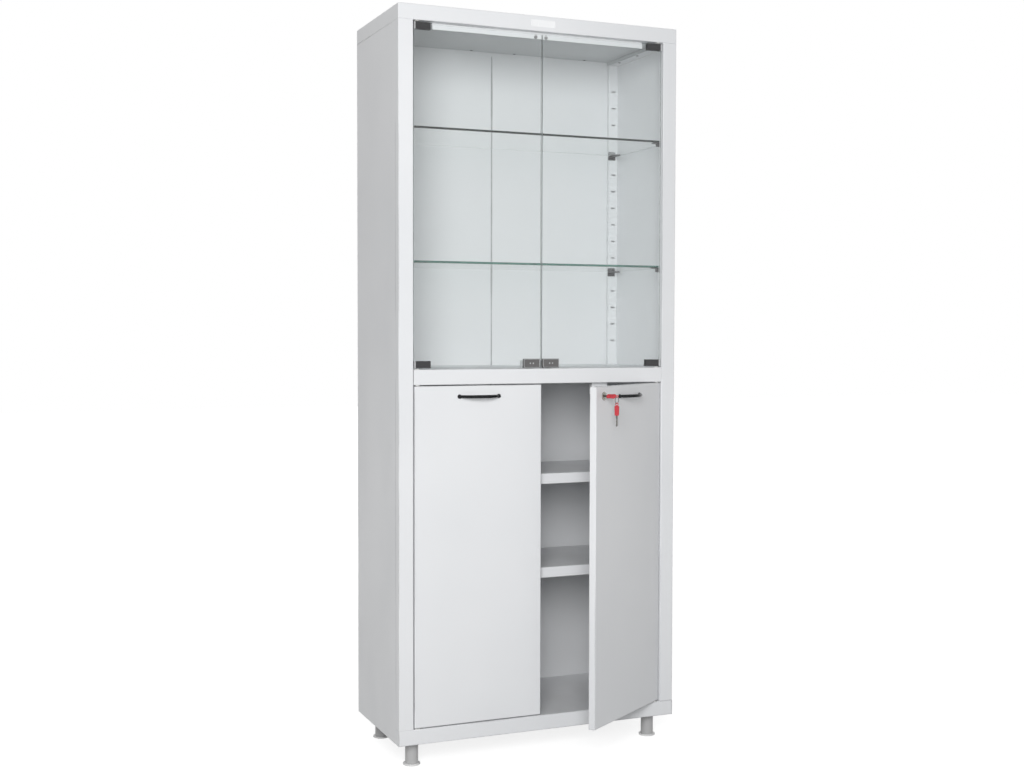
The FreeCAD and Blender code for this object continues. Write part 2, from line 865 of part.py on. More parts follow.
def touch_latch_housings():
    """Two latch housings on the partition, each bored for its plunger."""
    housings = []
    for side in (LEFT, RIGHT):
        start = plunger_front(side) + BACK * latch_standoff
        low = FreeCAD.Vector(start.x - latch_width / 2, start.y, mid_top)
        size = FreeCAD.Vector(latch_width, latch_depth, latch_height)
        body = block(low, low + size)
        body = body.makeFillet(clamp_edge_round, edges_above(body, mid_top + clamp_edge_round))
        depth = plunger_length - latch_standoff + plunger_travel + touch_gap
        bore = rod(plunger_radius + running_clearance, start - BACK * cut_overrun, start + BACK * depth)
        housings.append(body.cut(bore))
    return Part.makeCompound(housings)


def glass_door_buffers():
    """Two rubber buffers on the stop, one behind each pane's inner edge."""
    buffers = []
    for side in (LEFT, RIGHT):
        seat = spot(side, buffer_offset, glass_stop_back, cap_low - glass_stop_drop + buffer_rise)
        buffers.append(rod(buffer_radius, seat, seat - BACK * buffer_thickness))
    return Part.makeCompound(buffers)


def handle_feet(side):
    """Middles of the two handle feet on the door's face, left one first."""
    middle = spot(side, door_middle, 0, handle_height)
    half = ACROSS * (handle_spacing / 2)
    return middle - half, middle + half


def lock_point(back):
    """A point on the lock's axis with the door shut, at a distance behind its face."""
    return spot(RIGHT, lock_out, back, lock_height)


def steel_door_skin(side):
    """The outer pan of a steel door: face and four edges from one sheet."""
    low = spot(side, door_inner, 0, door_low)
    pan = block(low, spot(side, door_outer, door_thickness, door_high))
    face_edges = [edge for edge in pan.Edges if edge.CenterOfMass.y < front + sheet]
    pan = pan.makeFillet(bend_radius + sheet, face_edges)
    hollow_low = spot(side, door_inner + sheet, sheet, door_low + sheet)
    hollow_high = spot(side, door_outer - sheet, door_thickness + cut_overrun, door_high - sheet)
    hollow = block(hollow_low, hollow_high)
    hollow_edges = [edge for edge in hollow.Edges if edge.CenterOfMass.y < front + 2 * sheet]
    holes = [hollow.makeFillet(bend_radius, hollow_edges)]
    for up, way in ((door_low, 1), (door_high, -1)):
        start = steel_pivot(side, up - way * cut_overrun)
        holes.append(rod(steel_pin_radius, start, steel_pivot(side, up + way * (sheet + cut_overrun))))
    through = sheet + cut_overrun
    for foot in handle_feet(side):
        holes.append(rod(handle_screw_radius, foot - BACK * cut_overrun, foot + BACK * through))
    if side == RIGHT:
        holes.append(rod(barrel_radius + barrel_fit, lock_point(-cut_overrun), lock_point(through)))
    return bored(pan, holes)


def steel_door_liner(side):
    """The inner tray that closes a steel door's back."""
    low = spot(side, door_inner + sheet, door_thickness - liner_depth, door_low + sheet)
    tray = block(low, spot(side, door_outer - sheet, door_thickness, door_high - sheet))
    hollow_low = low + FreeCAD.Vector(side * sheet, -cut_overrun, sheet)
    wall = 2 * sheet
    hollow = block(hollow_low, spot(side, door_outer - wall, door_thickness - sheet, door_high - wall))
    holes = [hollow]
    if side == RIGHT:
        start = lock_point(door_thickness - sheet - cut_overrun)
        holes.append(rod(barrel_radius + barrel_fit, start, lock_point(door_thickness + cut_overrun)))
    return bored(tray, holes)


def steel_pivot_pins(side):
    """Two pins with collars inside a steel door's upper and lower edge."""
    pins = []
    for up, way, gap in ((door_high, 1, door_top_gap), (door_low, -1, door_bottom_gap)):
        seat = up - way * sheet
        collar_end = steel_pivot(side, seat - way * steel_pin_collar_height)
        collar = rod(steel_pin_collar_radius, collar_end, steel_pivot(side, seat))
        shank = rod(steel_pin_radius, collar_end, steel_pivot(side, up + way * (gap + pin_engagement)))
        pins.append(joined(collar, shank))
    return Part.makeCompound(pins)


def door_magnets():
    """Two magnets fixed behind the middle rail's lugs, with their faces just behind the shut doors."""
    magnets = []
    low_up = door_lug_low - magnet_drop
    lug_end = door_lug_back + sheet
    face = door_thickness + touch_gap
    for side in (LEFT, RIGHT):
        start = door_middle - magnet_width / 2
        end = door_middle + magnet_width / 2
        high = spot(side, end, lug_end + magnet_depth, mid_low - magnet_top_gap)
        body = block(spot(side, start, lug_end, low_up), high)
        nose = block(spot(side, start, face, low_up), spot(side, end, lug_end, door_lug_low - touch_gap))
        magnets.append(joined(body, nose))
    return Part.makeCompound(magnets)


def handle(side):
    """A round bar bent to an arc between two feet on the door's face."""
    half = handle_spacing / 2
    rise = handle_reach - handle_bar_radius
    arc_radius = (half * half + rise * rise) / (2 * rise)
    centre = spot(side, door_middle, arc_radius - rise, handle_height)
    reach = math.asin(half / arc_radius) + handle_bar_radius / arc_radius
    start = centre + FreeCAD.Vector(-math.sin(reach), -math.cos(reach), 0) * arc_radius
    along = FreeCAD.Vector(math.cos(reach), -math.sin(reach), 0)
    section = Part.Face(Part.Wire(Part.makeCircle(handle_bar_radius, start, along)))
    bow = section.revolve(centre, UP, math.degrees(2 * reach))
    feet = [rod(handle_foot_radius, foot, foot - BACK * handle_foot_height) for foot in handle_feet(side)]
    bow = joined(bow, *feet)
    span = FreeCAD.Vector(handle_spacing, 0, handle_spacing)
    middle = spot(side, door_middle, 0, handle_height)
    holes = [block(middle - span, middle + span + BACK * handle_spacing)]
    for foot in handle_feet(side):
        holes.append(rod(handle_screw_radius, foot, foot - BACK * handle_screw_depth))
    return bored(bow, holes)


def handle_screws(side):
    """Two screws from inside a door into the handle's feet."""
    screws = []
    for foot in handle_feet(side):
        seat = foot + BACK * sheet
        head = rod(handle_screw_head_radius, seat, seat + BACK * handle_screw_head_height)
        screws.append(joined(head, rod(handle_screw_radius, seat, foot - BACK * handle_screw_depth)))
    return Part.makeCompound(screws)


def lock_housing():
    """The lock's barrel with its rounded rosette on the door's face."""
    rosette = rod(rosette_radius, lock_point(0), lock_point(-rosette_thickness))
    rim = [edge for edge in rosette.Edges if edge.CenterOfMass.y < front - rosette_thickness / 2]
    rosette = rosette.makeFillet(rosette_round, rim[:1])
    barrel = rod(barrel_radius, lock_point(0), lock_point(cam_front - touch_gap))
    bore_start = lock_point(-rosette_thickness - cut_overrun)
    bore = rod(plug_radius + running_clearance, bore_start, lock_point(cam_front + cut_overrun))
    return joined(rosette, barrel).cut(bore)


def lock_nut():
    """A six-sided nut on the barrel, against the inside of the door's face."""
    turns = [math.radians(angle) for angle in range(0, 420, 60)]
    centre = lock_point(sheet)
    corners = [centre + FreeCAD.Vector(math.cos(t), 0, math.sin(t)) * lock_nut_radius for t in turns]
    nut = Part.Face(Part.makePolygon(corners)).extrude(BACK * lock_nut_thickness)
    return nut.cut(rod(barrel_radius, lock_point(0), lock_point(sheet + lock_nut_thickness + cut_overrun)))


def turned_key_frame():
    """The key's placement in the lock: it points out of the door and leans by its rest angle."""
    out_of_door = FreeCAD.Rotation(ACROSS, 90)
    lean = FreeCAD.Rotation(-BACK, key_rest_angle)
    return FreeCAD.Placement(lock_point(-key_hole_reach), lean.multiply(out_of_door))


def spare_key_drop():
    """How far the spare key's hole hangs below the hole of the key in the lock."""
    return 2 * ring_radius + key_hole_radius - ring_wire_radius - ring_seat


def hanging_key_frame():
    """The spare key's placement: straight down from the ring."""
    return FreeCAD.Placement(lock_point(-key_hole_reach) - UP * spare_key_drop(), FreeCAD.Rotation())


def key_blade(fit=0):
    """A key's flat blade below its head, with its eyelet hole at the origin and its width along Y."""
    top = -key_eyelet_neck - key_head_length + key_blade_root
    low = -key_eyelet_neck - key_head_length - key_blade_length
    thick = key_blade_thickness / 2 + fit
    wide = key_blade_width / 2 + fit
    return block(FreeCAD.Vector(-thick, -wide, low - fit), FreeCAD.Vector(thick, wide, top))


def key_head():
    """A key's plastic head with a thin eyelet, its hole at the origin and its axis along X."""
    thick = key_head_thickness / 2
    wide = key_head_width / 2
    top = -key_eyelet_neck
    body = block(FreeCAD.Vector(-thick, -wide, top - key_head_length), FreeCAD.Vector(thick, wide, top))
    body = body.makeFillet(key_head_round, body.Edges)
    eye = ACROSS * (key_eyelet_thickness / 2)
    disc = rod(key_eyelet_radius, -eye, eye)
    neck_reach = FreeCAD.Vector(0, key_eyelet_radius, 0)
    neck_low = -eye - neck_reach - UP * (key_eyelet_neck + key_head_round)
    neck = block(neck_low, eye + neck_reach)
    hole = rod(key_hole_radius, -ACROSS * key_head_thickness, ACROSS * key_head_thickness)
    return joined(body, disc, neck).cut(hole).cut(key_blade())


def placed(shape, frame):
    """A copy of a shape carried to a placement."""
    copy = shape.copy()
    copy.Placement = frame
    return copy


def lock_plug():
    """The turning plug, with a keyway at its front, a tail for the cam and a hole for its screw."""
    body = rod(plug_radius, lock_point(-rosette_thickness - plug_proud), lock_point(cam_front - touch_gap))
    tail = rod(plug_tail_radius, lock_point(cam_front - touch_gap), lock_point(cam_back))
    keyway = placed(key_blade(keyway_fit), turned_key_frame())
    screw_start = lock_point(cam_back - cam_screw_depth)
    screw_hole = rod(cam_screw_radius, screw_start, lock_point(cam_back + cut_overrun))
    return bored(joined(body, tail), [keyway, screw_hole])


def lock_cam():
    """An arm behind the door that lies level when unlocked and turns up behind the middle rail."""
    hub = rod(plug_radius, lock_point(cam_front), lock_point(cam_back))
    half = cam_width / 2
    low = lock_point(cam_front) - UP * half
    arm = block(low, lock_point(cam_back) + ACROSS * cam_reach + UP * half)
    hole = rod(plug_tail_radius, lock_point(cam_front - cut_overrun), lock_point(cam_back + cut_overrun))
    return joined(hub, arm).cut(hole)


def cam_screw():
    """The screw that holds the cam on the plug's tail."""
    head = rod(cam_screw_head_radius, lock_point(cam_back), lock_point(cam_back + cam_screw_head_height))
    return joined(head, rod(cam_screw_radius, lock_point(cam_back - cam_screw_depth), lock_point(cam_back)))


def key_ring():
    """A wire ring through the hole of the key in the lock, with the spare key at its lowest point."""
    centre = lock_point(-key_hole_reach) - UP * ring_radius
    return Part.makeTorus(ring_radius, ring_wire_radius, centre, BACK)


def name_plate():
    """A bare plate in the middle of the top rail."""
    up = (cap_low + cabinet_top) / 2
    low = spot(LEFT, plate_width / 2, 0, up - plate_height / 2)
    return block(low, spot(RIGHT, plate_width / 2, -plate_thickness, up + plate_height / 2))


def ajar(shape):
    """A piece of the right steel door, swung open to its rest angle."""
    copy = shape.copy()
    copy.rotate(steel_pivot(RIGHT, 0), UP, door_rest_angle)
    return copy


def carcass_pieces():
    """Everything that stands still."""
    glass_low_shelf, glass_high_shelf = glass_shelf_undersides()
    steel_low_shelf, steel_high_shelf = steel_shelf_undersides()
    return {
        "left_side_panel": side_wall(LEFT),
        "right_side_panel": side_wall(RIGHT),
        "front_posts": front_posts(),
        "corner_rails": corner_rails(),
        "top_cap": top_cap(),
        "ceiling_panel": ceiling_panel(),
        "mid_partition": mid_partition(),
        "base_tray": base_tray(),
        "back_panel_left": back_panel(LEFT),
        "back_panel_right": back_panel(RIGHT),
        "back_joint_strip": back_joint_strip(),
        "carcass_rivets": carcass_rivets(),
        "glass_shelf_upper": glass_shelf(glass_high_shelf),
        "glass_shelf_lower": glass_shelf(glass_low_shelf),
        "steel_shelf_upper": steel_shelf(steel_high_shelf),
        "steel_shelf_lower": steel_shelf(steel_low_shelf),
        "shelf_clips": shelf_clips(),
        "leg_tubes": leg_tubes(),
        "leg_bolts": leg_bolts(),
        "pivot_bushes": pivot_bushes(),
        "touch_latch_housings": touch_latch_housings(),
        "glass_door_buffers": glass_door_buffers(),
        "door_magnets": door_magnets(),
        "name_plate": name_plate(),
    }


def door_pieces():
    """The four doors with what is fixed to them, the right steel door standing ajar."""
    pieces = {}
    for side, name in ((LEFT, "left"), (RIGHT, "right")):
        pieces["glass_pane_" + name] = glass_pane(side)
        pieces["glass_clamps_" + name] = glass_clamps(side)
        pieces["glass_pivot_pins_" + name] = glass_pivot_pins(side)
        pieces["clamp_screws_" + name] = clamp_screws(side)
        pieces["catch_plate_" + name] = catch_plate(side)
        steel = {
            "steel_door_skin_": steel_door_skin(side),
            "steel_door_liner_": steel_door_liner(side),
            "steel_pivot_pins_": steel_pivot_pins(side),
            "handle_": handle(side),
            "handle_screws_": handle_screws(side),
        }
        for stem, shape in steel.items():
            pieces[stem + name] = ajar(shape) if side == RIGHT else shape
    return pieces


def lock_pieces():
    """The lock, the key in it, and the spare key on its ring, all on the door that stands ajar."""
    key = turned_key_frame()
    spare = hanging_key_frame()
    pieces = {
        "lock_housing": lock_housing(),
        "lock_nut": lock_nut(),
        "lock_plug": lock_plug(),
        "lock_cam": lock_cam(),
        "cam_screw": cam_screw(),
        "key_blade": placed(key_blade(), key),
        "key_head": placed(key_head(), key),
        "key_ring": key_ring(),
        "spare_key_blade": placed(key_blade(), spare),
        "spare_key_head": placed(key_head(), spare),
    }
    return {name: ajar(shape) for name, shape in pieces.items()}


def sliding_pieces():
    """The latch plungers and the levelling feet."""
    pieces = {
        "latch_plunger_left": latch_plunger(LEFT),
        "latch_plunger_right": latch_plunger(RIGHT),
    }
    for name, place in leg_spots().items():
        pieces["foot_" + name] = levelling_foot(place)
    return pieces


def main():
    os.makedirs("parts", exist_ok=True)
    pieces = {**carcass_pieces(), **door_pieces(), **lock_pieces(), **sliding_pieces()}
    for name, shape in pieces.items():
        shape.exportStep("parts/" + name + ".step")


main()
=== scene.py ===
"""Looks of a medical cabinet: powder-coated sheet steel, clamped glass doors and small bright fittings.

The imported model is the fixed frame. This file finishes its sheets and panes with procedural materials,
and makes the fittings whose shape is more than a bent sheet: handles, lock, keys, feet, buffers, plates
and collars.
Lengths are in metres. X runs to the right as seen from the front, Y runs to the back and Z runs up.
"""
import json
import math

import bmesh
import bpy
import numpy as np
from bpy.props import FloatProperty, FloatVectorProperty, PointerProperty
from mathutils import Matrix, Vector


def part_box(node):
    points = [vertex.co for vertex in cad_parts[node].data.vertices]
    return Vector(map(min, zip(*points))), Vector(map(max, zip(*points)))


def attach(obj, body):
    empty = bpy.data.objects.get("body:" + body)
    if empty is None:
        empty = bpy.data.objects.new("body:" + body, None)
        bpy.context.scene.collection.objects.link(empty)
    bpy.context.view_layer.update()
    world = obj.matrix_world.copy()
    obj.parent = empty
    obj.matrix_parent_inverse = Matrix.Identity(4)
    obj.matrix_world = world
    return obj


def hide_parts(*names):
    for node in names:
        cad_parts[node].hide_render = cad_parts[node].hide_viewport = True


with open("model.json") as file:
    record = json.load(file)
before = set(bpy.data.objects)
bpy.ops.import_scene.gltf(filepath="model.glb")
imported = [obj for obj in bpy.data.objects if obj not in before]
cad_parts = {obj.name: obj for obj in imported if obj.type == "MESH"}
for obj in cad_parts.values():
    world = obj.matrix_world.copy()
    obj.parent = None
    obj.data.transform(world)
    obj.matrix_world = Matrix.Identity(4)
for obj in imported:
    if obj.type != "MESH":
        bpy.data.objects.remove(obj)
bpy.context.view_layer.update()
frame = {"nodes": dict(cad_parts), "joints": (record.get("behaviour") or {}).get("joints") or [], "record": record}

bl_info = {
    "name": "Medical cabinet looks",
    "version": (1, 0, 0),
    "blender": (4, 5, 0),
    "location": "3D View > Sidebar > Cabinet",
    "description": "Finishes a medical cabinet and makes its shaped fittings",
    "category": "Object",
}

SIDES = {"left": -1, "right": 1}
BOTH_WAYS = (-1, 1)
UP = np.array([0.0, 0.0, 1.0])
# Across, up and out, for a shape that sits on the cabinet's front
FRONT_AXES = ((1, 0, 0), (0, 0, 1), (0, -1, 0))
ROUND_STEPS = 48
SMOOTH_ANGLE = math.radians(34)
MERGE_DISTANCE = 1e-7
# How far the key in the lock leans from the upright
KEY_LEAN = math.radians(45)
# From the middle of the spare key's eyelet to the top of its head
EYELET_REACH = 0.0040
# In millimetres, as the lens is
SENSOR_WIDTH = 36.0
JOINTS = {joint["name"]: joint for joint in frame["joints"]}
BODIES = frame["record"]["behaviour"]["bodies"]
BODY_OF = {node: body for body, nodes in BODIES.items() for node in nodes}
SLOT_OF = {part["node"]: part["material_slot"] for part in frame["record"]["subparts"]}
FEET = [node for node in frame["nodes"] if node.startswith("foot_")]


# Settings


def setting(kind, **fixed):
    """A maker of settings of one kind, each with its own name, description and default."""
    def make(name, description, default):
        return kind(name=name, description=description, default=default, **fixed)
    return make


length = setting(FloatProperty, min=0.0, subtype="DISTANCE", unit="LENGTH", precision=5)
position = setting(FloatVectorProperty, size=3, subtype="TRANSLATION", unit="LENGTH")
angle = setting(FloatProperty, subtype="ANGLE", unit="ROTATION")
watts = setting(FloatProperty, min=0.0, subtype="POWER", unit="POWER")
number = setting(FloatProperty, min=0.0)
share = setting(FloatProperty, min=0.0, max=1.0, subtype="FACTOR")
colour = setting(FloatVectorProperty, size=3, min=0.0, max=1.0, subtype="COLOR")


class CoatSettings(bpy.types.PropertyGroup):
    """Powder coat on the sheet steel and paint on the legs."""

    white: colour("White", "Coat of the carcass, doors and shelves", (0.775, 0.785, 0.800))
    cloud: colour("Cloud", "Tone that the coat drifts to in broad patches", (0.735, 0.748, 0.765))
    # Painted shade: the ceiling sheet takes a greyer coat that stands in for the shade under the top
    ceiling: colour("Ceiling", "Greyer coat of the ceiling sheet", (0.545, 0.560, 0.570))
    leg: colour("Leg", "Paint of the legs", (0.48, 0.48, 0.48))
    leg_cloud: colour("Leg cloud", "Tone that the legs' paint drifts to", (0.42, 0.42, 0.425))
    # Painted shade: a dark colour laid along sharp sheet edges, standing in for the shade at seams and folds
    seam: colour("Seam", "Shade that gathers along sharp sheet edges", (0.17, 0.17, 0.18))
    seam_width: length("Seam width", "Width of the shade along a sheet edge", 0.0024)
    peel: length("Peel", "Depth of the coat's orange peel", 0.00022)
    peel_size: length("Peel size", "Width of one dimple of the orange peel", 0.0021)


class GlassSettings(bpy.types.PropertyGroup):
    """Float glass of the doors and shelves."""

    tint: colour("Tint", "Colour of the broad faces", (0.985, 0.993, 0.991))
    door_edge: colour("Door edge", "Colour of the doors' ground edges", (0.66, 0.74, 0.72))
    shelf_edge: colour("Shelf edge", "Colour of the shelves' cut edges", (0.09, 0.30, 0.235))
    shadow: colour("Shadow", "Light that a pane lets through", (0.955, 0.968, 0.965))


class FittingSettings(bpy.types.PropertyGroup):
    """Metal, plastic, rubber and enamel of the fittings."""

    black: colour("Black", "Clamps of the glass doors", (0.030, 0.030, 0.032))
    grey: colour("Grey", "Catch plates", (0.125, 0.122, 0.122))
    moulded: colour("Moulded", "Latches and magnets", (0.74, 0.75, 0.76))
    # Painted reflection: the handles' chrome is made almost black to stand in for a dark room mirrored in it
    dark_chrome: colour("Dark chrome", "Handles", (0.014, 0.014, 0.016))
    # Painted reflection: the lock's metal keeps a warm tone but is darkened to stand in for dark surroundings
    # mirrored in it
    nickel: colour("Nickel", "Lock", (0.34, 0.33, 0.30))
    zinc: colour("Zinc", "Screws, pins, rims and collars", (0.52, 0.53, 0.54))
    # Painted shade and reflection: a darkened zinc for the rivets and shelf clips, standing in for the shade and
    # dark surroundings they show
    aged_zinc: colour("Aged zinc", "Rivets of the carcass and shelf clips", (0.15, 0.15, 0.155))
    foot: colour("Foot", "Enamel of the levelling feet", (0.80, 0.80, 0.80))
    steel: colour("Steel", "Key blades and ring", (0.24, 0.235, 0.225))
    red: colour("Red", "Key heads", (0.56, 0.040, 0.055))
    nylon: colour("Nylon", "Pivot bushes", (0.78, 0.78, 0.75))
    rubber: colour("Rubber", "Buffers of the glass doors", (0.30, 0.30, 0.30))
    plate: colour("Plate", "Enamel of the bare plate on the top rail", (0.87, 0.88, 0.89))


class ShapeSettings(bpy.types.PropertyGroup):
    """Sizes of the shaped fittings that the frame doesn't give."""

    bar: length("Handle bar", "Height of a handle's bar at its middle", 0.0076)
    rosette: length("Rosette", "Radius of the lock's rosette", 0.010)
    rosette_height: length("Rosette height", "How far the rosette stands out of the door", 0.0025)
    wire: length("Ring wire", "Thickness of the key ring's wire", 0.0009)
    clamp: length("Clamp height", "Height of one clamp of a glass door", 0.016)
    collar: length("Clamp collar", "Width of the bright collar at a clamp's pivot end", 0.0046)
    rim: length("Catch rim", "Width of the raised rim of a catch plate", 0.0011)


class StageSettings(bpy.types.PropertyGroup):
    """Camera, lamps, sky and floor."""

    camera: position("Camera", "Place of the camera", (-1.30483, -3.07246, 0.99543))
    yaw: angle("Yaw", "Turn of the camera to the right", math.radians(22.8711))
    pitch: angle("Pitch", "Tilt of the camera upwards", math.radians(-2.2744))
    roll: angle("Roll", "Lean of the camera", math.radians(0.1229))
    lens: number("Lens", "Focal length in millimetres", 48.3298)
    key: watts("Key lamp", "Power of the large lamp beside the camera", 95.0)
    key_place: position("Key place", "Middle of the key lamp", (-1.45, -3.12, 1.64))
    key_size: length("Key size", "Width of the key lamp", 1.7)
    fill: watts("Fill lamp", "Power of the lamp behind the cabinet", 26.0)
    fill_place: position("Fill place", "Middle of the fill lamp", (1.50, 3.00, 1.95))
    fill_size: length("Fill size", "Width of the fill lamp", 3.4)
    aim: position("Aim", "Point that both lamps look at", (0.0, 0.0, 0.90))
    sky: number("Sky", "Strength of the light from all round", 0.30)
    floor: length("Floor", "Width of the floor", 28.0)
    glow: share("Floor glow", "White of the floor that the camera sees without any light on it", 0.80)
    glow_start: length("Glow start", "Where the floor's glow starts to rise to white", 1.2)
    glow_end: length("Glow end", "Where the floor's glow is white", 3.0)


class CabinetLooks(bpy.types.PropertyGroup):
    """All settings of the cabinet's looks."""

    coat: PointerProperty(type=CoatSettings)
    glass: PointerProperty(type=GlassSettings)
    fitting: PointerProperty(type=FittingSettings)
    shape: PointerProperty(type=ShapeSettings)
    stage: PointerProperty(type=StageSettings)


def looks():
    """The settings kept on the scene."""
    return bpy.context.scene.cabinet_looks


# Grids and solids


def shell_of(points, closed_rows=False):
    """A shell from a grid of points, rows by columns by three, whose columns close on themselves.

    Each face joins the points (i, j), (i, j + 1), (i + 1, j + 1) and (i + 1, j).
    """
    rows, columns = points.shape[:2]
    row = np.arange(rows if closed_rows else rows - 1)[:, None]
    column = np.arange(columns)[None, :]
    next_row, next_column = (row + 1) % rows, (column + 1) % columns
    corners = (row * columns + column, row * columns + next_column,
               next_row * columns + next_column, next_row * columns + column)
    return points.reshape(-1, 3), np.stack(np.broadcast_arrays(*corners), axis=-1).reshape(-1, 4)


def faced_outwards(points, faces):
    """The faces of a closed shell, turned so that they look outwards.

    Where its volume, the sum of the triple products of corners, is negative, every face is turned round.
    """
    a, b, c, d = (points[corner] for corner in faces.T)
    volume = np.sum(a * (np.cross(b, c) + np.cross(c, d)))
    return faces if volume > 0 else faces[:, ::-1]


def circle(steps):
    """Angles once round, without the last one."""
    return np.linspace(0.0, 2 * np.pi, steps, endpoint=False)


def lathe(profile, steps=ROUND_STEPS, closed=False):
    """A profile of (radius, height) turned about the third axis: (r cos t, r sin t, h)."""
    turn = circle(steps)
    radius, height = np.asarray(profile, float).T[:, :, None]
    points = np.stack([radius * np.cos(turn), radius * np.sin(turn), height + 0 * turn], axis=-1)
    return shell_of(points, closed_rows=closed)


def quarter(radius, rise, steps):
    """A profile of a quarter ellipse, from its rim to its top: (a cos t, b sin t)."""
    bend = np.linspace(0.0, np.pi / 2, steps)
    return np.stack([radius * np.cos(bend), rise * np.sin(bend)], axis=-1)


def superellipse(steps, power):
    """Points of |x|^p + |y|^p = 1, once round."""
    turn = circle(steps)
    flat = np.stack([np.cos(turn), np.sin(turn)], axis=-1)
    return np.sign(flat) * np.abs(flat) ** (2 / power)


def swept(path, wide, deep, section, half_wide, half_deep):
    """A section of unit points carried along a path; wide and deep are one way, or one for each station.

    Each point is path + wide * half_wide * u + deep * half_deep * v, with (u, v) on the section.
    """
    wide, deep = (np.broadcast_to(way, path.shape)[:, None, :] for way in (wide, deep))
    across = half_wide[:, None, None] * section[None, :, :1] * wide
    through = half_deep[:, None, None] * section[None, :, 1:] * deep
    return shell_of(path[:, None, :] + across + through)


def tapered(steps, round_share, power):
    """Stations from nought to one and a swelling that rises from nought and falls back at both ends.

    The stations lie closer near the ends, and the swelling is a superelliptic quarter over round_share.
    """
    station = (1 - np.cos(np.linspace(0.0, np.pi, steps))) / 2
    near_end = np.minimum(station, 1 - station) / round_share
    swell = (1 - (1 - np.clip(near_end, 0, 1)) ** power) ** (1 / power)
    return station, swell


def set_in(shell, origin, axes):
    """A shell carried from its own three axes to a place in the frame."""
    points, faces = shell
    return np.asarray(origin, float) + points @ np.asarray(axes, float), faces


def swung_open(shell, joint):
    """A shell made on a shut door, turned about the door's upright hinge to where the door rests."""
    points, faces = shell
    hinge = JOINTS[joint]
    pivot = np.array(hinge["pos_m"])
    turn = math.radians(-hinge["range_deg"][0]) * hinge["axis"][2]
    spin = [[math.cos(turn), math.sin(turn), 0], [-math.sin(turn), math.cos(turn), 0], [0, 0, 1]]
    return (points - pivot) @ np.array(spin) + pivot, faces


def middle_and_half(node):
    """The middle of a frame node's box, and its half sizes."""
    low, high = (np.array(corner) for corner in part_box(node))
    return (low + high) / 2, (high - low) / 2


def new_object(name, data):
    """A new object in the scene."""
    made = bpy.data.objects.new(name, data)
    bpy.context.scene.collection.objects.link(made)
    return made


def make_piece(name, shells, node, trim_slot=None):
    """A mesh object from closed shells, which rides with a frame node's body.

    It replaces the node and takes the node's finish, or it is trim on the node with the finish of a slot of its
    own.
    """
    points, faces, first = [], [], 0
    for shell_points, shell_faces in shells:
        points.append(shell_points)
        faces.append(faced_outwards(shell_points, shell_faces) + first)
        first += len(shell_points)
    mesh = bpy.data.meshes.new(name)
    mesh.from_pydata(np.concatenate(points).tolist(), [], np.concatenate(faces).tolist())
    close_poles(mesh)
    mesh.materials.append(finish(trim_slot) if trim_slot else node_finish(node))
    piece = new_object(name, mesh)
    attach(piece, BODY_OF[node])
    if trim_slot is None:
        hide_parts(node)


def close_poles(mesh):
    """Merge the points that meet at a pole, drop the faces that this empties, and smooth the rest."""
    work = bmesh.new()
    work.from_mesh(mesh)
    bmesh.ops.remove_doubles(work, verts=work.verts, dist=MERGE_DISTANCE)
    bmesh.ops.dissolve_degenerate(work, edges=work.edges, dist=MERGE_DISTANCE)
    work.to_mesh(mesh)
    work.free()
    mesh.shade_smooth()
    mesh.set_sharp_from_angle(angle=SMOOTH_ANGLE)


# Shader nodes

VALUE, COLOUR, VECTOR = "NodeSocketFloat", "NodeSocketColor", "NodeSocketVector"
SKIN_OUTPUTS = {"Color": COLOUR, "Roughness": VALUE, "Height": VALUE}
MASK_OUTPUT = {"Mask": VALUE}
# Places of a colour mix's sockets, whose names repeat for each kind of value
MIX_MASK, MIX_FIRST, MIX_SECOND, MIX_RESULT = 0, 6, 7, 2


def add(tree, kind, **settings):
    """A node of one kind with its settings."""
    node = tree.nodes.new(kind)
    for name, value in settings.items():
        setattr(node, name, value)
    return node


def feed(tree, socket, value):
    """Link an output to an input, or set the input's own value."""
    if isinstance(value, bpy.types.NodeSocket):
        tree.links.new(value, socket)
    elif hasattr(socket.default_value, "__len__") and len(socket.default_value) == 4 and len(value) == 3:
        socket.default_value = (*value, 1.0)
    else:
        socket.default_value = value


def feed_all(tree, node, **values):
    """Feed several inputs of a node; a space in an input's name is written as an underscore."""
    for name, value in values.items():
        feed(tree, node.inputs[name.replace("_", " ")], value)


def fed(tree, kind, *values, **settings):
    """A node of one kind with its settings, whose inputs are fed in order."""
    node = add(tree, kind, **settings)
    for socket, value in zip(node.inputs, values):
        feed(tree, socket, value)
    return node


def noise(tree, vector, scale, detail=2.0, roughness=0.5):
    """Cloudy noise from nought to one."""
    node = add(tree, "ShaderNodeTexNoise")
    feed_all(tree, node, Vector=vector, Scale=scale, Detail=detail, Roughness=roughness)
    return node.outputs["Fac"]


def ranged(tree, value, start, end=(0.0, 1.0)):
    """A value carried smoothly from its start range to its end range, and held at both ends."""
    node = add(tree, "ShaderNodeMapRange", interpolation_type="SMOOTHSTEP")
    feed_all(tree, node, Value=value, From_Min=start[0], From_Max=start[1], To_Min=end[0], To_Max=end[1])
    return node.outputs["Result"]


def worked(tree, operation, *values):
    """Arithmetic on one value or two."""
    return fed(tree, "ShaderNodeMath", *values, operation=operation).outputs["Value"]


def added(tree, first, second):
    """The sum of two values."""
    return worked(tree, "ADD", first, second)


def scaled(tree, value, by):
    """A value times another."""
    return worked(tree, "MULTIPLY", value, by)


def blended(tree, mask, first, second):
    """Two colours mixed by a mask."""
    node = add(tree, "ShaderNodeMix", data_type="RGBA")
    for place, value in ((MIX_MASK, mask), (MIX_FIRST, first), (MIX_SECOND, second)):
        feed(tree, node.inputs[place], value)
    return node.outputs[MIX_RESULT]


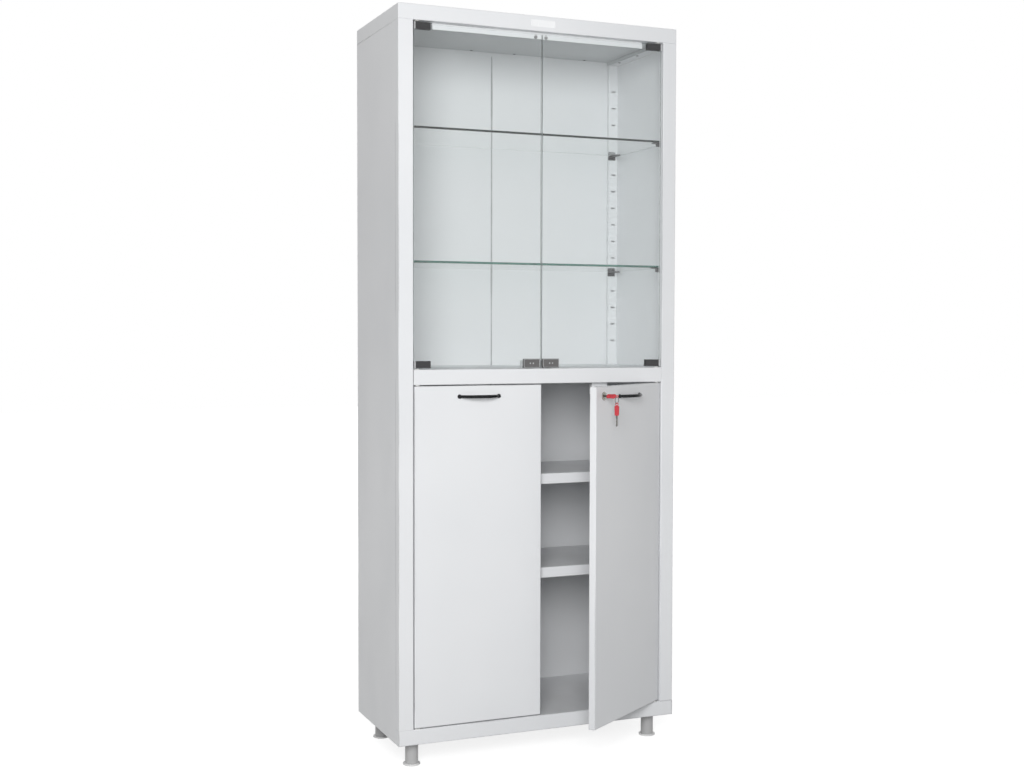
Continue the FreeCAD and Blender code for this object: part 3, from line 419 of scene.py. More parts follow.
def stretched(tree, vector, scales):
    """Coordinates scaled by a different amount along each axis."""
    node = add(tree, "ShaderNodeMapping")
    feed_all(tree, node, Vector=vector, Scale=scales)
    return node.outputs["Vector"]


def facing(tree, axis):
    """How far a face looks along one of the object's axes, from minus one to one."""
    place = add(tree, "ShaderNodeTexCoord")
    return fed(tree, "ShaderNodeSeparateXYZ", place.outputs["Normal"]).outputs[axis]


def lighter(tone, gain, lift):
    """A colour times a gain plus a lift, up to white."""
    return tuple(min(1.0, part * gain + lift) for part in tone)


# Shared groups


def new_group(name, outputs, **inputs):
    """An empty shader node group that reads coordinates, with its inputs' sockets and its output node.

    A further input is given as its kind of socket, or as the number that a plain value starts from.
    """
    group = bpy.data.node_groups.new(name, "ShaderNodeTree")
    for socket_name, given in {"Vector": VECTOR, **inputs}.items():
        kind = given if isinstance(given, str) else VALUE
        socket = group.interface.new_socket(name=socket_name.replace("_", " "), in_out="INPUT",
                                            socket_type=kind)
        if kind == VALUE:
            socket.default_value = given
    for socket_name, kind in outputs.items():
        group.interface.new_socket(name=socket_name, in_out="OUTPUT", socket_type=kind)
    return group, add(group, "NodeGroupInput").outputs, add(group, "NodeGroupOutput")


def powder_coat():
    """Powder coat: broad clouds of tone, fine pigment specks, orange peel and an uneven gloss."""
    group, given, result = new_group("powder_coat", SKIN_OUTPUTS, Coat=COLOUR, Cloud=COLOUR,
                                     Peel_Scale=480.0, Roughness=0.34)
    vector, pigment = given["Vector"], (0.30, 0.31, 0.33)
    clouds = ranged(group, noise(group, vector, scale=1.7, detail=3.0), (0.36, 0.68))
    tone = blended(group, clouds, given["Coat"], given["Cloud"])
    specks = ranged(group, noise(group, vector, scale=2600.0, detail=1.0), (0.66, 0.80), (0.0, 0.07))
    peel = noise(group, vector, scale=given["Peel Scale"], detail=1.0)
    grain = scaled(group, noise(group, vector, scale=1900.0, detail=1.0), by=0.25)
    upright = stretched(group, vector, (3.0, 3.0, 1.1))
    smears = ranged(group, noise(group, upright, scale=2.2, detail=4.0, roughness=0.6),
                    (0.35, 0.75), (-0.05, 0.08))
    feed_all(group, result, Color=blended(group, specks, tone, pigment),
             Roughness=added(group, given["Roughness"], smears), Height=added(group, peel, grain))
    return group


def edge_wear():
    """Sharp edges: where a rounded normal leaves the face's own, broken by noise; fittings take it for worn edges
    with a painted highlight, the coat for a painted shade.
    """
    group, given, result = new_group("edge_wear", MASK_OUTPUT, Width=0.0006, Patches=260.0)
    rounded = add(group, "ShaderNodeBevel", samples=4)
    feed_all(group, rounded, Radius=given["Width"])
    face = add(group, "ShaderNodeNewGeometry")
    likeness = fed(group, "ShaderNodeVectorMath", rounded.outputs["Normal"], face.outputs["True Normal"],
                   operation="DOT_PRODUCT").outputs["Value"]
    edge = ranged(group, likeness, (0.999, 0.90))
    patches = ranged(group, noise(group, given["Vector"], scale=given["Patches"], detail=3.0), (0.42, 0.62))
    feed_all(group, result, Mask=scaled(group, edge, by=patches))
    return group


def settled_dust():
    """Dust: a thin film that settles on faces that look up, in soft patches."""
    group, given, result = new_group("settled_dust", MASK_OUTPUT, Amount=0.15)
    upward = ranged(group, facing(group, "Z"), (0.55, 0.95))
    drift = noise(group, given["Vector"], scale=9.0, detail=4.0, roughness=0.65)
    film = scaled(group, upward, by=ranged(group, drift, (0.30, 0.72)))
    feed_all(group, result, Mask=scaled(group, film, by=given["Amount"]))
    return group


def finger_marks():
    """Finger marks and wiping streaks: large smears broken by fine ridges."""
    group, given, result = new_group("finger_marks", MASK_OUTPUT, Scale=7.0)
    vector = given["Vector"]
    smears = noise(group, vector, scale=given["Scale"], detail=3.0, roughness=0.6)
    streaks = noise(group, stretched(group, vector, (40.0, 40.0, 7.0)), scale=3.0, detail=3.0)
    feed_all(group, result, Mask=scaled(group, ranged(group, smears, (0.50, 0.78)), by=streaks))
    return group


def metal_grain():
    """Drawn or brushed metal: long fine lines along one axis, with a mottled tone."""
    group, given, result = new_group("metal_grain", SKIN_OUTPUTS, Metal=COLOUR, Roughness=0.25)
    vector, metal = given["Vector"], given["Metal"]
    dark, dark_share = (0.10, 0.10, 0.10), 0.55
    lines = noise(group, stretched(group, vector, (90.0, 90.0, 1400.0)), scale=2.0)
    mottle = ranged(group, noise(group, vector, scale=210.0, detail=3.0), (0.35, 0.70))
    darker = blended(group, dark_share, metal, dark)
    uneven = ranged(group, lines, (0.30, 0.75), (-0.06, 0.12))
    feed_all(group, result, Color=blended(group, scaled(group, mottle, by=0.45), metal, darker),
             Roughness=added(group, given["Roughness"], uneven), Height=lines)
    return group


def moulded_grain():
    """Moulded plastic or rubber: a fine spark-eroded grain and a slight flow of tone."""
    group, given, result = new_group("moulded_grain", SKIN_OUTPUTS, Body=COLOUR, Roughness=0.40)
    vector, body = given["Vector"], given["Body"]
    black, black_share = (0.0, 0.0, 0.0), 0.4
    flow = ranged(group, noise(group, vector, scale=55.0), (0.30, 0.75), (0.0, 0.30))
    deeper = blended(group, black_share, body, black)
    grain = noise(group, vector, scale=2400.0)
    uneven = ranged(group, grain, (0.30, 0.70), (-0.05, 0.08))
    feed_all(group, result, Color=blended(group, flow, body, deeper),
             Roughness=added(group, given["Roughness"], uneven), Height=grain)
    return group


def placed_group(tree, maker, vector, **values):
    """The outputs of a shared group, placed in a material with the material's coordinates and values.

    The group has its maker's name, and is made when it is first asked for.
    """
    group = bpy.data.node_groups.get(maker.__name__) or maker()
    node = add(tree, "ShaderNodeGroup", node_tree=group)
    feed_all(tree, node, Vector=vector, **values)
    return node.outputs


# Finishes

COAT_DUST, FITTING_DUST = (0.52, 0.50, 0.47), (0.45, 0.43, 0.40)
# For each slot, its colours in the settings, or a pane's broad axis and edge colour, and its roughness
COATS = {**dict.fromkeys(("carcass_paint", "door_paint", "shelf_paint"), ("white", "cloud", 0.34)),
         "ceiling_paint": ("ceiling", "ceiling", 0.34), "leg_paint": ("leg", "leg_cloud", 0.38)}
PANES = {"door_glass": ("Y", "door_edge", 0.60), "shelf_glass": ("Z", "shelf_edge", 0.10)}
METALS = {"handle_chrome": ("dark_chrome", 0.12), "lock_chrome": ("nickel", 0.16), "zinc": ("zinc", 0.34),
          "aged_zinc": ("aged_zinc", 0.40), "key_steel": ("steel", 0.24)}
MOULDINGS = {"clamp_black": ("black", 0.30), "catch_grey": ("grey", 0.38), "latch_plastic": ("moulded", 0.45),
             "key_red": ("red", 0.24), "bush_white": ("nylon", 0.45), "buffer_rubber": ("rubber", 0.62),
             "foot_metal": ("foot", 0.34)}
# Nodes whose finish isn't that of their slot
# Painted shade: the back joint strip is bare zinc, darker than the coat, so that it draws the shaded gap between
# the back sheets as a line
NODE_FINISHES = {"carcass_rivets": "aged_zinc", "shelf_clips": "aged_zinc", "back_joint_strip": "zinc",
                 "ceiling_panel": "ceiling_paint", **dict.fromkeys(FEET, "foot_metal")}


def new_material(name):
    """A material with one Principled shader on its output; returns it, its tree, shader and coordinates."""
    material = bpy.data.materials.new(name)
    material.use_nodes = True
    tree = material.node_tree
    shader = tree.nodes["Principled BSDF"]
    place = add(tree, "ShaderNodeTexCoord")
    return material, tree, shader, place.outputs["Object"]


def bumped(tree, shader, height, distance, strength):
    """Carry a height to the shader's normal."""
    bump = add(tree, "ShaderNodeBump")
    feed_all(tree, bump, Strength=strength, Distance=distance, Height=height)
    feed_all(tree, shader, Normal=bump.outputs["Normal"])


def coat_material(name, coat, cloud, roughness, dust=0.10):
    """Powder coat with orange peel, a painted shade along sheet edges, a little dust and faint handling marks."""
    settings = looks().coat
    material, tree, shader, vector = new_material(name)
    paint = placed_group(tree, powder_coat, vector, Coat=coat, Cloud=cloud,
                         Peel_Scale=1.0 / settings.peel_size, Roughness=roughness)
    film = placed_group(tree, settled_dust, vector, Amount=dust)["Mask"]
    marks = placed_group(tree, finger_marks, vector, Scale=5.0)["Mask"]
    edges = placed_group(tree, edge_wear, vector, Width=settings.seam_width, Patches=5.0)["Mask"]
    # Painted shade: the coat turns dark along sharp sheet edges, standing in for the shade at seams and folds
    seam_shaded = blended(tree, scaled(tree, edges, by=0.9), paint["Color"], settings.seam)
    handled = added(tree, paint["Roughness"], scaled(tree, marks, by=0.12))
    feed_all(tree, shader, Base_Color=blended(tree, film, seam_shaded, COAT_DUST),
             Roughness=added(tree, handled, film))
    bumped(tree, shader, paint["Height"], distance=settings.peel, strength=0.35)
    return material


def glass_material(name, broad_axis, edge_colour, edge_roughness):
    """Clear float glass: a faint tint on its broad faces, coloured cut edges and a few wiping marks.

    Lamps and diffuse light go straight through, so that what stands behind a pane is lit.
    """
    settings = looks().glass
    material, tree, shader, vector = new_material(name)
    edge = ranged(tree, worked(tree, "ABSOLUTE", facing(tree, broad_axis)), (0.95, 0.55))
    marks = placed_group(tree, finger_marks, vector, Scale=4.0)["Mask"]
    ground = scaled(tree, edge, by=edge_roughness)
    feed_all(tree, shader, Base_Color=blended(tree, edge, settings.tint, edge_colour),
             Roughness=added(tree, ground, scaled(tree, marks, by=0.02)), Transmission_Weight=1.0, IOR=1.5)
    clear = add(tree, "ShaderNodeBsdfTransparent")
    feed_all(tree, clear, Color=settings.shadow)
    ray = add(tree, "ShaderNodeLightPath").outputs
    passing = worked(tree, "MAXIMUM", ray["Is Shadow Ray"], ray["Is Diffuse Ray"])
    pane = fed(tree, "ShaderNodeMixShader", passing, shader.outputs["BSDF"], clear.outputs["BSDF"])
    feed_all(tree, tree.nodes["Material Output"], Surface=pane.outputs["Shader"])
    return material


def metal_material(name, metal, roughness):
    """Plated or drawn metal with fine lines, a mottled tone and brighter edges that are partly worn and partly a
    painted highlight.
    """
    material, tree, shader, vector = new_material(name)
    grain = placed_group(tree, metal_grain, vector, Metal=metal, Roughness=roughness)
    wear_and_highlight = placed_group(tree, edge_wear, vector, Width=0.0004)["Mask"]
    marks = placed_group(tree, finger_marks, vector, Scale=60.0)["Mask"]
    # Painted highlight: edges turn paler along the edge mask, partly worn plating and partly the glint a rounded
    # edge would catch
    bright = lighter(metal, gain=1.25, lift=0.04)
    feed_all(tree, shader, Base_Color=blended(tree, wear_and_highlight, grain["Color"], bright), Metallic=1.0,
             Roughness=added(tree, grain["Roughness"], scaled(tree, marks, by=0.10)))
    bumped(tree, shader, grain["Height"], distance=0.00003, strength=0.4)
    return material


def moulded_material(name, body, roughness):
    """Moulded plastic, rubber or satin enamel with a fine grain, dust on top and paler edges that are partly worn
    and partly a painted highlight.
    """
    material, tree, shader, vector = new_material(name)
    skin = placed_group(tree, moulded_grain, vector, Body=body, Roughness=roughness)
    wear_and_highlight = placed_group(tree, edge_wear, vector, Width=0.0005)["Mask"]
    film = placed_group(tree, settled_dust, vector, Amount=0.12)["Mask"]
    # Painted highlight: edges turn paler along the edge mask, partly worn and partly the glint a rounded edge
    # would catch
    tone = blended(tree, wear_and_highlight, skin["Color"], lighter(body, gain=1.5, lift=0.05))
    feed_all(tree, shader, Base_Color=blended(tree, film, tone, FITTING_DUST),
             Roughness=added(tree, skin["Roughness"], film))
    bumped(tree, shader, skin["Height"], distance=0.00006, strength=0.5)
    return material


def finish(slot):
    """The material of a slot or finish, made when it is first asked for."""
    made = bpy.data.materials.get("finish_" + slot)
    return made or make_finish("finish_" + slot, slot)


def make_finish(name, slot):
    """Make the material of one slot or finish."""
    coat, glass, fitting = looks().coat, looks().glass, looks().fitting
    if slot in COATS:
        tone, cloud, roughness = COATS[slot]
        return coat_material(name, getattr(coat, tone), getattr(coat, cloud), roughness)
    if slot == "plate_metal":
        return coat_material(name, fitting.plate, fitting.plate, roughness=0.26, dust=0.02)
    if slot in PANES:
        broad_axis, edge, roughness = PANES[slot]
        return glass_material(name, broad_axis, getattr(glass, edge), roughness)
    if slot in METALS:
        metal, roughness = METALS[slot]
        return metal_material(name, getattr(fitting, metal), roughness)
    body, roughness = MOULDINGS[slot]
    return moulded_material(name, getattr(fitting, body), roughness)


def node_finish(node):
    """The material of a frame node, or of the piece that replaces it."""
    return finish(NODE_FINISHES.get(node, SLOT_OF[node]))


class CABINET_OT_finish_frame(bpy.types.Operator):
    """Give every sheet, pane and plain fitting of the frame its finish"""

    bl_idname = "cabinet.finish_frame"
    bl_label = "Finish the frame"

    def execute(self, context):
        for name, node in frame["nodes"].items():
            node.data.materials.clear()
            node.data.materials.append(node_finish(name))
        return {"FINISHED"}


# Handles, lock and keys


class CABINET_OT_handles(bpy.types.Operator):
    """Make the two bow handles of the steel doors"""

    bl_idname = "cabinet.handles"
    bl_label = "Handles"

    def execute(self, context):
        middle, half = middle_and_half("handle_left")
        for side, sign in SIDES.items():
            seat = np.array([sign * abs(middle[0]), middle[1] + half[1], middle[2]])
            shut = handle_shells(seat, half, looks().shape.bar / 2)
            shells = [swung_open(shell, f"steel_door_{side}_hinge") for shell in shut]
            make_piece("bow_handle_" + side, shells, "handle_" + side)
        return {"FINISHED"}


def handle_shells(seat, half, bar):
    """A bow and its two feet on a shut door's face.

    The bow's middle line is a circle's arc through both feet, with radius (c^2 + h^2) / 2h for half-chord c
    and rise h. Its section is a soft oval that thins a little towards the feet. A foot is a lathe turned
    about the door's normal, with a rounded base and a waist.
    """
    foot = half[2]
    chord, rise = half[0] - foot, 2 * half[1] - bar
    thinning_share, depth_share = 0.14, 0.88
    foot_shares = np.array([(0.0, 0.0), (0.97, 0.0), (1.0, 0.05), (1.0, 0.16), (0.93, 0.26), (0.82, 0.40),
                            (0.76, 0.62), (0.74, 0.90), (0.66, 1.03), (0.45, 1.10), (0.0, 1.12)])
    radius = (chord ** 2 + rise ** 2) / (2 * rise)
    station = np.linspace(-1.0, 1.0, num=61)
    sweep = station * math.asin(chord / radius)
    outward = np.stack([np.sin(sweep), -np.cos(sweep), 0 * sweep], axis=-1)
    path = seat + radius * outward + (0.0, radius - rise, 0.0)
    thickness = bar * (1.0 - thinning_share * station ** 2)
    thickness[[0, -1]] = 0.0
    bow = swept(path, UP, outward, superellipse(steps=28, power=2.4), thickness, thickness * depth_share)
    post = lathe(foot_shares * foot, steps=32)
    return [bow] + [set_in(post, seat + (way * chord, 0.0, 0.0), FRONT_AXES) for way in BOTH_WAYS]


class CABINET_OT_lock(bpy.types.Operator):
    """Make the lock's rosette and threaded barrel"""

    bl_idname = "cabinet.lock"
    bl_label = "Lock"

    def execute(self, context):
        shape = looks().shape
        _, plug = middle_and_half("lock_plug")
        profile = lock_profile(shape.rosette, shape.rosette_height, plug[2])
        shell = set_in(lathe(profile, steps=64, closed=True), JOINTS["lock_turn"]["pos_m"], lock_axes())
        make_piece("lock_rosette", [shell], "lock_housing")
        return {"FINISHED"}


def lock_axes():
    """Across the open door, up, and out of its face."""
    out = np.array(JOINTS["lock_turn"]["axis"], float)
    return np.array([-out[1], out[0], 0.0]), UP, out


def lock_profile(rosette, height, plug):
    """A closed profile: up the bore, over a dished and stepped rosette, and back down a threaded barrel.

    The thread is a row of ridges, r = barrel - depth * |sin(pi h / pitch)|.
    """
    clearance, chamfer = 0.00005, 0.0003
    barrel, back = 0.008, -0.0192
    thread_top, runout, pitch, depth = -0.0046, 0.0004, 0.0010, 0.00028
    mouth_share, dish_share = 0.80, 0.92
    face_shares = np.array([(0.72, dish_share), (0.76, 1.0), (0.88, 0.97), (0.95, 0.80), (0.99, 0.45),
                            (1.0, 0.16), (0.985, 0.0)])
    bore = plug + clearance
    inside = [(bore, back), (bore, height * mouth_share), (bore + chamfer, height * dish_share)]
    along = np.linspace(thread_top, back + runout, num=120)
    ridges = np.stack([barrel - depth * np.abs(np.sin(np.pi * along / pitch)), along], axis=-1)
    neck = [(barrel, 0.0), (barrel, thread_top + runout)]
    end = [(barrel - depth - chamfer, back)]
    return np.concatenate([inside, face_shares * (rosette, height), neck, ridges, end])


class CABINET_OT_keys(bpy.types.Operator):
    """Make the key in the lock, the split ring and the spare key that hangs from it"""

    bl_idname = "cabinet.keys"
    bl_label = "Keys"

    def execute(self, context):
        across, up, out = lock_axes()
        hole = np.array(JOINTS["spare_key_swing"]["pos_m"], float)
        sine, cosine = math.sin(KEY_LEAN), math.cos(KEY_LEAN)
        spare_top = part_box("spare_key_head")[1].z
        places = {"key": (hole, (sine * across + cosine * up, cosine * across - sine * up, -out)),
                  "spare_key": ((*hole[:2], spare_top - EYELET_REACH), (-out, across, -up))}
        for name, place in places.items():
            head = [set_in(shell, *place) for shell in key_head_shells()]
            make_piece(name + "_moulded_head", head, name + "_head")
            make_piece(name + "_cut_blade", [set_in(key_blade_shell(), *place)], name + "_blade")
        middle, half = middle_and_half("key_ring")
        ring = split_ring_shell(half[2], looks().shape.wire / 2)
        make_piece("split_ring", [set_in(ring, (*hole[:2], middle[2]), (across, up, out))], "key_ring")
        return {"FINISHED"}


def key_head_shells():
    """A moulded grip, a flat neck and an eyelet about the origin; the blade's way is the third axis.

    The grip is a superellipse section that swells from both ends and narrows slightly towards the blade,
    with a shallow thumb hollow on each broad face. The eyelet is a flattened ring.
    """
    first, second, third = np.eye(3)
    half_wide, half_thick, start, long = 0.00575, 0.0025, 0.003, 0.023
    narrowing_share, hollow_share, hollow_reach_share = 0.14, 0.16, 0.22
    station, swell = tapered(steps=48, round_share=0.16, power=2.6)
    hollow = hollow_share * np.exp(-((station - 0.5) / hollow_reach_share) ** 4)
    grip = swept(np.outer(start + long * station, third), first, second, superellipse(steps=56, power=4.2),
                 half_wide * swell * (1 - narrowing_share * station ** 2), half_thick * swell * (1 - hollow))
    neck_wide, neck_thick, neck_start, neck_long = 0.0034, 0.00058, 0.0020, 0.0034
    station, swell = tapered(steps=16, round_share=0.12, power=4.0)
    neck = swept(np.outer(neck_start + neck_long * station, third), first, second,
                 superellipse(steps=24, power=5.0), neck_wide * swell, neck_thick * swell)
    return [grip, neck, eyelet_shell(radius=0.0031, half_wide=0.00088, half_thick=0.0006)]


def eyelet_shell(radius, half_wide, half_thick):
    """A flattened ring about the second axis, with (u, v) on a superellipse.

    Each point is ((R + a u) cos t, b v, (R + a u) sin t).
    """
    section = superellipse(steps=16, power=3.0) * (half_wide, half_thick) + (radius, 0.0)
    return set_in(lathe(section, steps=40, closed=True), np.zeros(3), ((1, 0, 0), (0, 0, 1), (0, 1, 0)))


def key_blade_shell():
    """A flat blade with a milled groove on each side, cuts along one edge and a sloped tip.

    The section is a rectangle with a shallow step on both broad faces. Along the blade, one edge is set
    back by a row of trapezoid cuts, and the tip narrows to a third.
    """
    half_wide, half_thick, start, end = 0.0023, 0.0009, 0.0235, 0.0500
    first_cut, cut_pitch, cut_reach, cut_slope = 0.0325, 0.0030, 0.0016, 0.0009
    tip_long, tip_share, least_share = 0.0030, 0.66, 0.2
    cut_depths = np.array([0.0009, 0.0016, 0.0006, 0.0013, 0.0010])
    section = np.array([(-1, -1), (-0.25, -1), (-0.18, -0.45), (0.28, -0.45), (0.35, -1), (1, -1),
                        (1, 1), (0.35, 1), (0.28, 0.45), (-0.18, 0.45), (-0.25, 1), (-1, 1)], float)
    along = np.linspace(start, end, num=90)[:, None]
    away = np.abs(along - (first_cut + cut_pitch * np.arange(len(cut_depths))))
    cuts = (cut_depths * np.clip((cut_reach - away) / cut_slope, 0, 1)).max(axis=1, keepdims=True)
    wide = half_wide * (1 - tip_share * np.clip((along - (end - tip_long)) / tip_long, 0, 1))
    cut_side = np.maximum(wide - cuts, -wide * least_share)
    across = -wide + (cut_side + wide) * (section[:, 0] + 1) / 2
    points = np.stack(np.broadcast_arrays(across, half_thick * section[:, 1], along), axis=-1)
    caps = [np.broadcast_to(row.mean(axis=1, keepdims=True), row.shape) for row in (points[:1], points[-1:])]
    return shell_of(np.concatenate([caps[0], points, caps[1]]))


def split_ring_shell(reach, wire):
    """Two turns of wire that lie on each other: (R sin t, R cos t, h), where h climbs between the turns."""
    inset_share, spacing_share, start = 1.4, 1.02, 2.2
    climb_start, climb_long = 1.6 * np.pi, 0.8 * np.pi
    radius, spacing = reach - inset_share * wire, spacing_share * wire
    turn = np.linspace(0.0, 4 * np.pi, num=220)
    lift = spacing * (2 * np.clip((turn - climb_start) / climb_long, 0, 1) - 1)
    outward = np.stack([np.sin(turn + start), np.cos(turn + start), 0 * turn], axis=-1)
    thick = np.full(len(turn), wire)
    thick[[0, -1]] = 0.0
    path = radius * outward + np.outer(lift, UP)
    return swept(path, outward, UP, superellipse(steps=14, power=2.6), thick, thick)


# Feet and buffers


class CABINET_OT_feet(bpy.types.Operator):
    """Make the four round levelling feet"""

    bl_idname = "cabinet.feet"
    bl_label = "Feet"

    def execute(self, context):
        for node in FEET:
            middle, half = middle_and_half(node)
            profile = foot_profile(half[0], 2 * half[2])
            shell = set_in(lathe(profile, steps=72), middle - half[2] * UP, np.eye(3))
            make_piece("levelling_" + node, [shell], node)
        return {"FINISHED"}


def foot_profile(radius, height):
    """A hollowed sole, a rounded rim, a flat top and a threaded stem.

    The stem's thread is a row of ridges, r = stem - depth * (1 - cos(2 pi h / pitch)) / 2.
    """
    hollow_share, edge_share, flat_share = 0.70, 0.76, 0.93
    top, hollow, stem, fillet_wide, fillet_high = 0.0040, 0.0008, 0.01195, 0.0006, 0.0003
    thread_start, runout, pitch, depth = 0.0075, 0.0003, 0.0020, 0.0007
    end_long, end_chamfer, tip_narrowing = 0.002, 0.0012, 0.002
    flat = radius * flat_share
    sole = [(0.0, hollow), (radius * hollow_share, hollow), (radius * edge_share, 0.0), (flat, 0.0)]
    bend = np.linspace(-np.pi / 2, np.pi / 2, num=13)
    rim = np.stack([flat + (radius - flat) * np.cos(bend), top / 2 * (1 + np.sin(bend))], axis=-1)
    neck = [(stem + fillet_wide, top), (stem, top + fillet_high), (stem, thread_start - runout)]
    along = np.linspace(thread_start, height - end_long, num=150)
    thread = np.stack([stem - depth * (1 - np.cos(2 * np.pi * along / pitch)) / 2, along], axis=-1)
    tip = [(stem - depth, height - end_chamfer), (stem - tip_narrowing, height), (0.0, height)]
    return np.concatenate([sole, rim, neck, thread, tip])


class CABINET_OT_buffers(bpy.types.Operator):
    """Make the two rubber buffers that the glass doors close on"""

    bl_idname = "cabinet.buffers"
    bl_label = "Buffers"

    def execute(self, context):
        middle, half = middle_and_half("glass_door_buffers")
        radius, back = half[2], middle[1] + half[1]
        buffer = lathe(buffer_profile(radius, 2 * half[1]))
        out = middle[0] + half[0] - radius
        shells = [set_in(buffer, (way * out, back, middle[2]), FRONT_AXES) for way in BOTH_WAYS]
        make_piece("domed_buffers", shells, "glass_door_buffers")
        return {"FINISHED"}


def buffer_profile(radius, thick):
    """A flanged base, a waist and a dome: the dome is a quarter ellipse."""
    base_shares = np.array([(0.0, 0.0), (0.97, 0.0), (1.0, 0.04), (1.0, 0.20), (0.96, 0.26), (0.80, 0.30),
                            (0.80, 0.38)])
    dome_share, dome_start_share = 0.86, 0.45
    dome = quarter(radius * dome_share, thick * (1 - dome_start_share), steps=14)
    return np.concatenate([base_shares * (radius, thick), dome + (0.0, thick * dome_start_share)])


# Plates and collars


class CABINET_OT_plates(bpy.types.Operator):
    """Make the raised zinc rims and studs of the catch plates, the rims also standing for a painted highlight
    along the plates' edges, and the bare dished plate of the top rail
    """

    bl_idname = "cabinet.plates"
    bl_label = "Plates"

    def execute(self, context):
        for side in SIDES:
            node = "catch_plate_" + side
            middle, half = middle_and_half(node)
            front = middle - (0.0, half[1], 0.0)
            shells = [rim_shell(half[0], half[2], looks().shape.rim), *stud_shells()]
            make_piece("catch_rim_" + side, [set_in(shell, front, FRONT_AXES) for shell in shells], node,
                       trim_slot="zinc")
        middle, half = middle_and_half("name_plate")
        plate = set_in(dished_plate(half[0], half[2], 2 * half[1]), middle + (0.0, half[1], 0.0), FRONT_AXES)
        make_piece("bare_plate", [plate], "name_plate")
        return {"FINISHED"}


def rounded_outline(half_wide, half_high, corner):
    """A rounded rectangle and its outward normals: a corner circle, shifted by the signs of its normals."""
    steps = 2 * ROUND_STEPS
    turn = circle(steps) + np.pi / steps
    normal = np.stack([np.cos(turn), np.sin(turn)], axis=-1)
    shift = np.sign(normal) * (half_wide - corner, half_high - corner)
    return shift + corner * normal, normal


def rim_shell(half_wide, half_high, rim):
    """A low bright bead round the front of a catch plate, partly a painted highlight along its edge: outline +
    normal * a cos t, raised by b sin t.
    """
    corner, rise_share = 0.0016, 0.28
    outline, normal = rounded_outline(half_wide - rim, half_high - rim, corner)
    turn = circle(steps=16)
    flat = outline[:, None, :] + normal[:, None, :] * (rim / 2 * np.cos(turn))[None, :, None]
    raised = np.broadcast_to(rim * rise_share * np.sin(turn), flat.shape[:2])
    return shell_of(np.dstack([flat, raised]), closed_rows=True)


def stud_shells():
    """Two domed rivets across a catch plate's middle: each is a quarter ellipse turned about its axis."""
    radius, rise, sunk, apart = 0.0019, 0.0008, 0.0002, 0.0075
    stud = lathe(np.concatenate([[(0.0, -sunk), (radius, -sunk)], quarter(radius, rise, steps=9)]), steps=20)
    return [set_in(stud, (way * apart / 2, 0.0, 0.0), np.eye(3)) for way in BOTH_WAYS]


def dished_plate(half_wide, half_high, thick):
    """A rounded plate with a raised edge: rings of its outline, each with its shares of size and height."""
    corner = 0.0022
    size_shares = np.array([0.0, 0.60, 0.90, 0.925, 0.945, 0.975, 0.992, 1.0, 1.0, 0.5, 0.0])
    height_shares = np.array([0.55, 0.55, 0.55, 0.62, 0.95, 1.0, 0.92, 0.70, 0.0, 0.0, 0.0])
    outline, _ = rounded_outline(half_wide, half_high, corner)
    flat = outline[None, :, :] * size_shares[:, None, None]
    return shell_of(np.dstack([flat, np.broadcast_to(thick * height_shares[:, None], flat.shape[:2])]))


class CABINET_OT_collars(bpy.types.Operator):
    """Make the bright collars at the pivot ends of the glass doors' clamps"""

    bl_idname = "cabinet.collars"
    bl_label = "Clamp collars"

    def execute(self, context):
        shape = looks().shape
        for side, sign in SIDES.items():
            node = "glass_clamps_" + side
            middle, half = middle_and_half(node)
            end = middle + (sign * half[0], 0.0, 0.0)
            rise = (half[2] - shape.clamp / 2) * UP
            shells = [collar_shell(end + way * rise, sign, shape.collar, half[1], shape.clamp / 2)
                      for way in BOTH_WAYS]
            make_piece("clamp_collars_" + side, shells, node, trim_slot="zinc")
        return {"FINISHED"}


def collar_shell(end, sign, wide, half_deep, half_high):
    """A sleeve over a clamp's end: a squarish superellipse along the clamp, with softly rounded rims."""
    proud = 0.00025
    across, deep, high = np.eye(3)
    station, swell = tapered(steps=28, round_share=0.14, power=3.0)
    path = end + np.outer(sign * (proud - (wide + proud) * station), across)
    return swept(path, deep, high, superellipse(steps=64, power=14.0),
                 (half_deep + proud) * swell, (half_high + proud) * swell)


# Stage


class CABINET_OT_stage(bpy.types.Operator):
    """Set the camera, the lamps, the sky and a plain pale floor"""

    bl_idname = "cabinet.stage"
    bl_label = "Stage"

    def execute(self, context):
        settings = looks().stage
        context.scene.view_settings.view_transform = "Standard"
        set_camera(settings)
        add_lamp("key_lamp", settings.key, settings.key_size, settings.key_place, settings.aim)
        add_lamp("fill_lamp", settings.fill, settings.fill_size, settings.fill_place, settings.aim)
        set_sky(settings)
        set_floor(settings)
        return {"FINISHED"}


def set_camera(settings):
    """A camera that looks along the given yaw and pitch, with no shift and no depth of field."""
    camera = new_object("camera", bpy.data.cameras.new("camera"))
    camera.data.lens = settings.lens
    camera.data.sensor_width = SENSOR_WIDTH
    camera.location = settings.camera
    level = math.cos(settings.pitch)
    forward = Vector((math.sin(settings.yaw) * level, math.cos(settings.yaw) * level,
                      math.sin(settings.pitch)))
    turn = forward.to_track_quat("-Z", "Y").to_matrix()
    camera.rotation_euler = (turn @ Matrix.Rotation(settings.roll, 3, "Z")).to_euler()
    bpy.context.scene.camera = camera


def add_lamp(name, power, size, place, aim):
    """A round area lamp that looks at one point and leaves no disc in the panes."""
    lamp = new_object(name, bpy.data.lights.new(name, "AREA"))
    lamp.data.shape = "DISK"
    lamp.data.size = size
    lamp.data.energy = power
    lamp.location = place
    lamp.visible_glossy = False
    lamp.visible_transmission = False
    lamp.rotation_euler = (Vector(aim) - lamp.location).to_track_quat("-Z", "Y").to_euler()


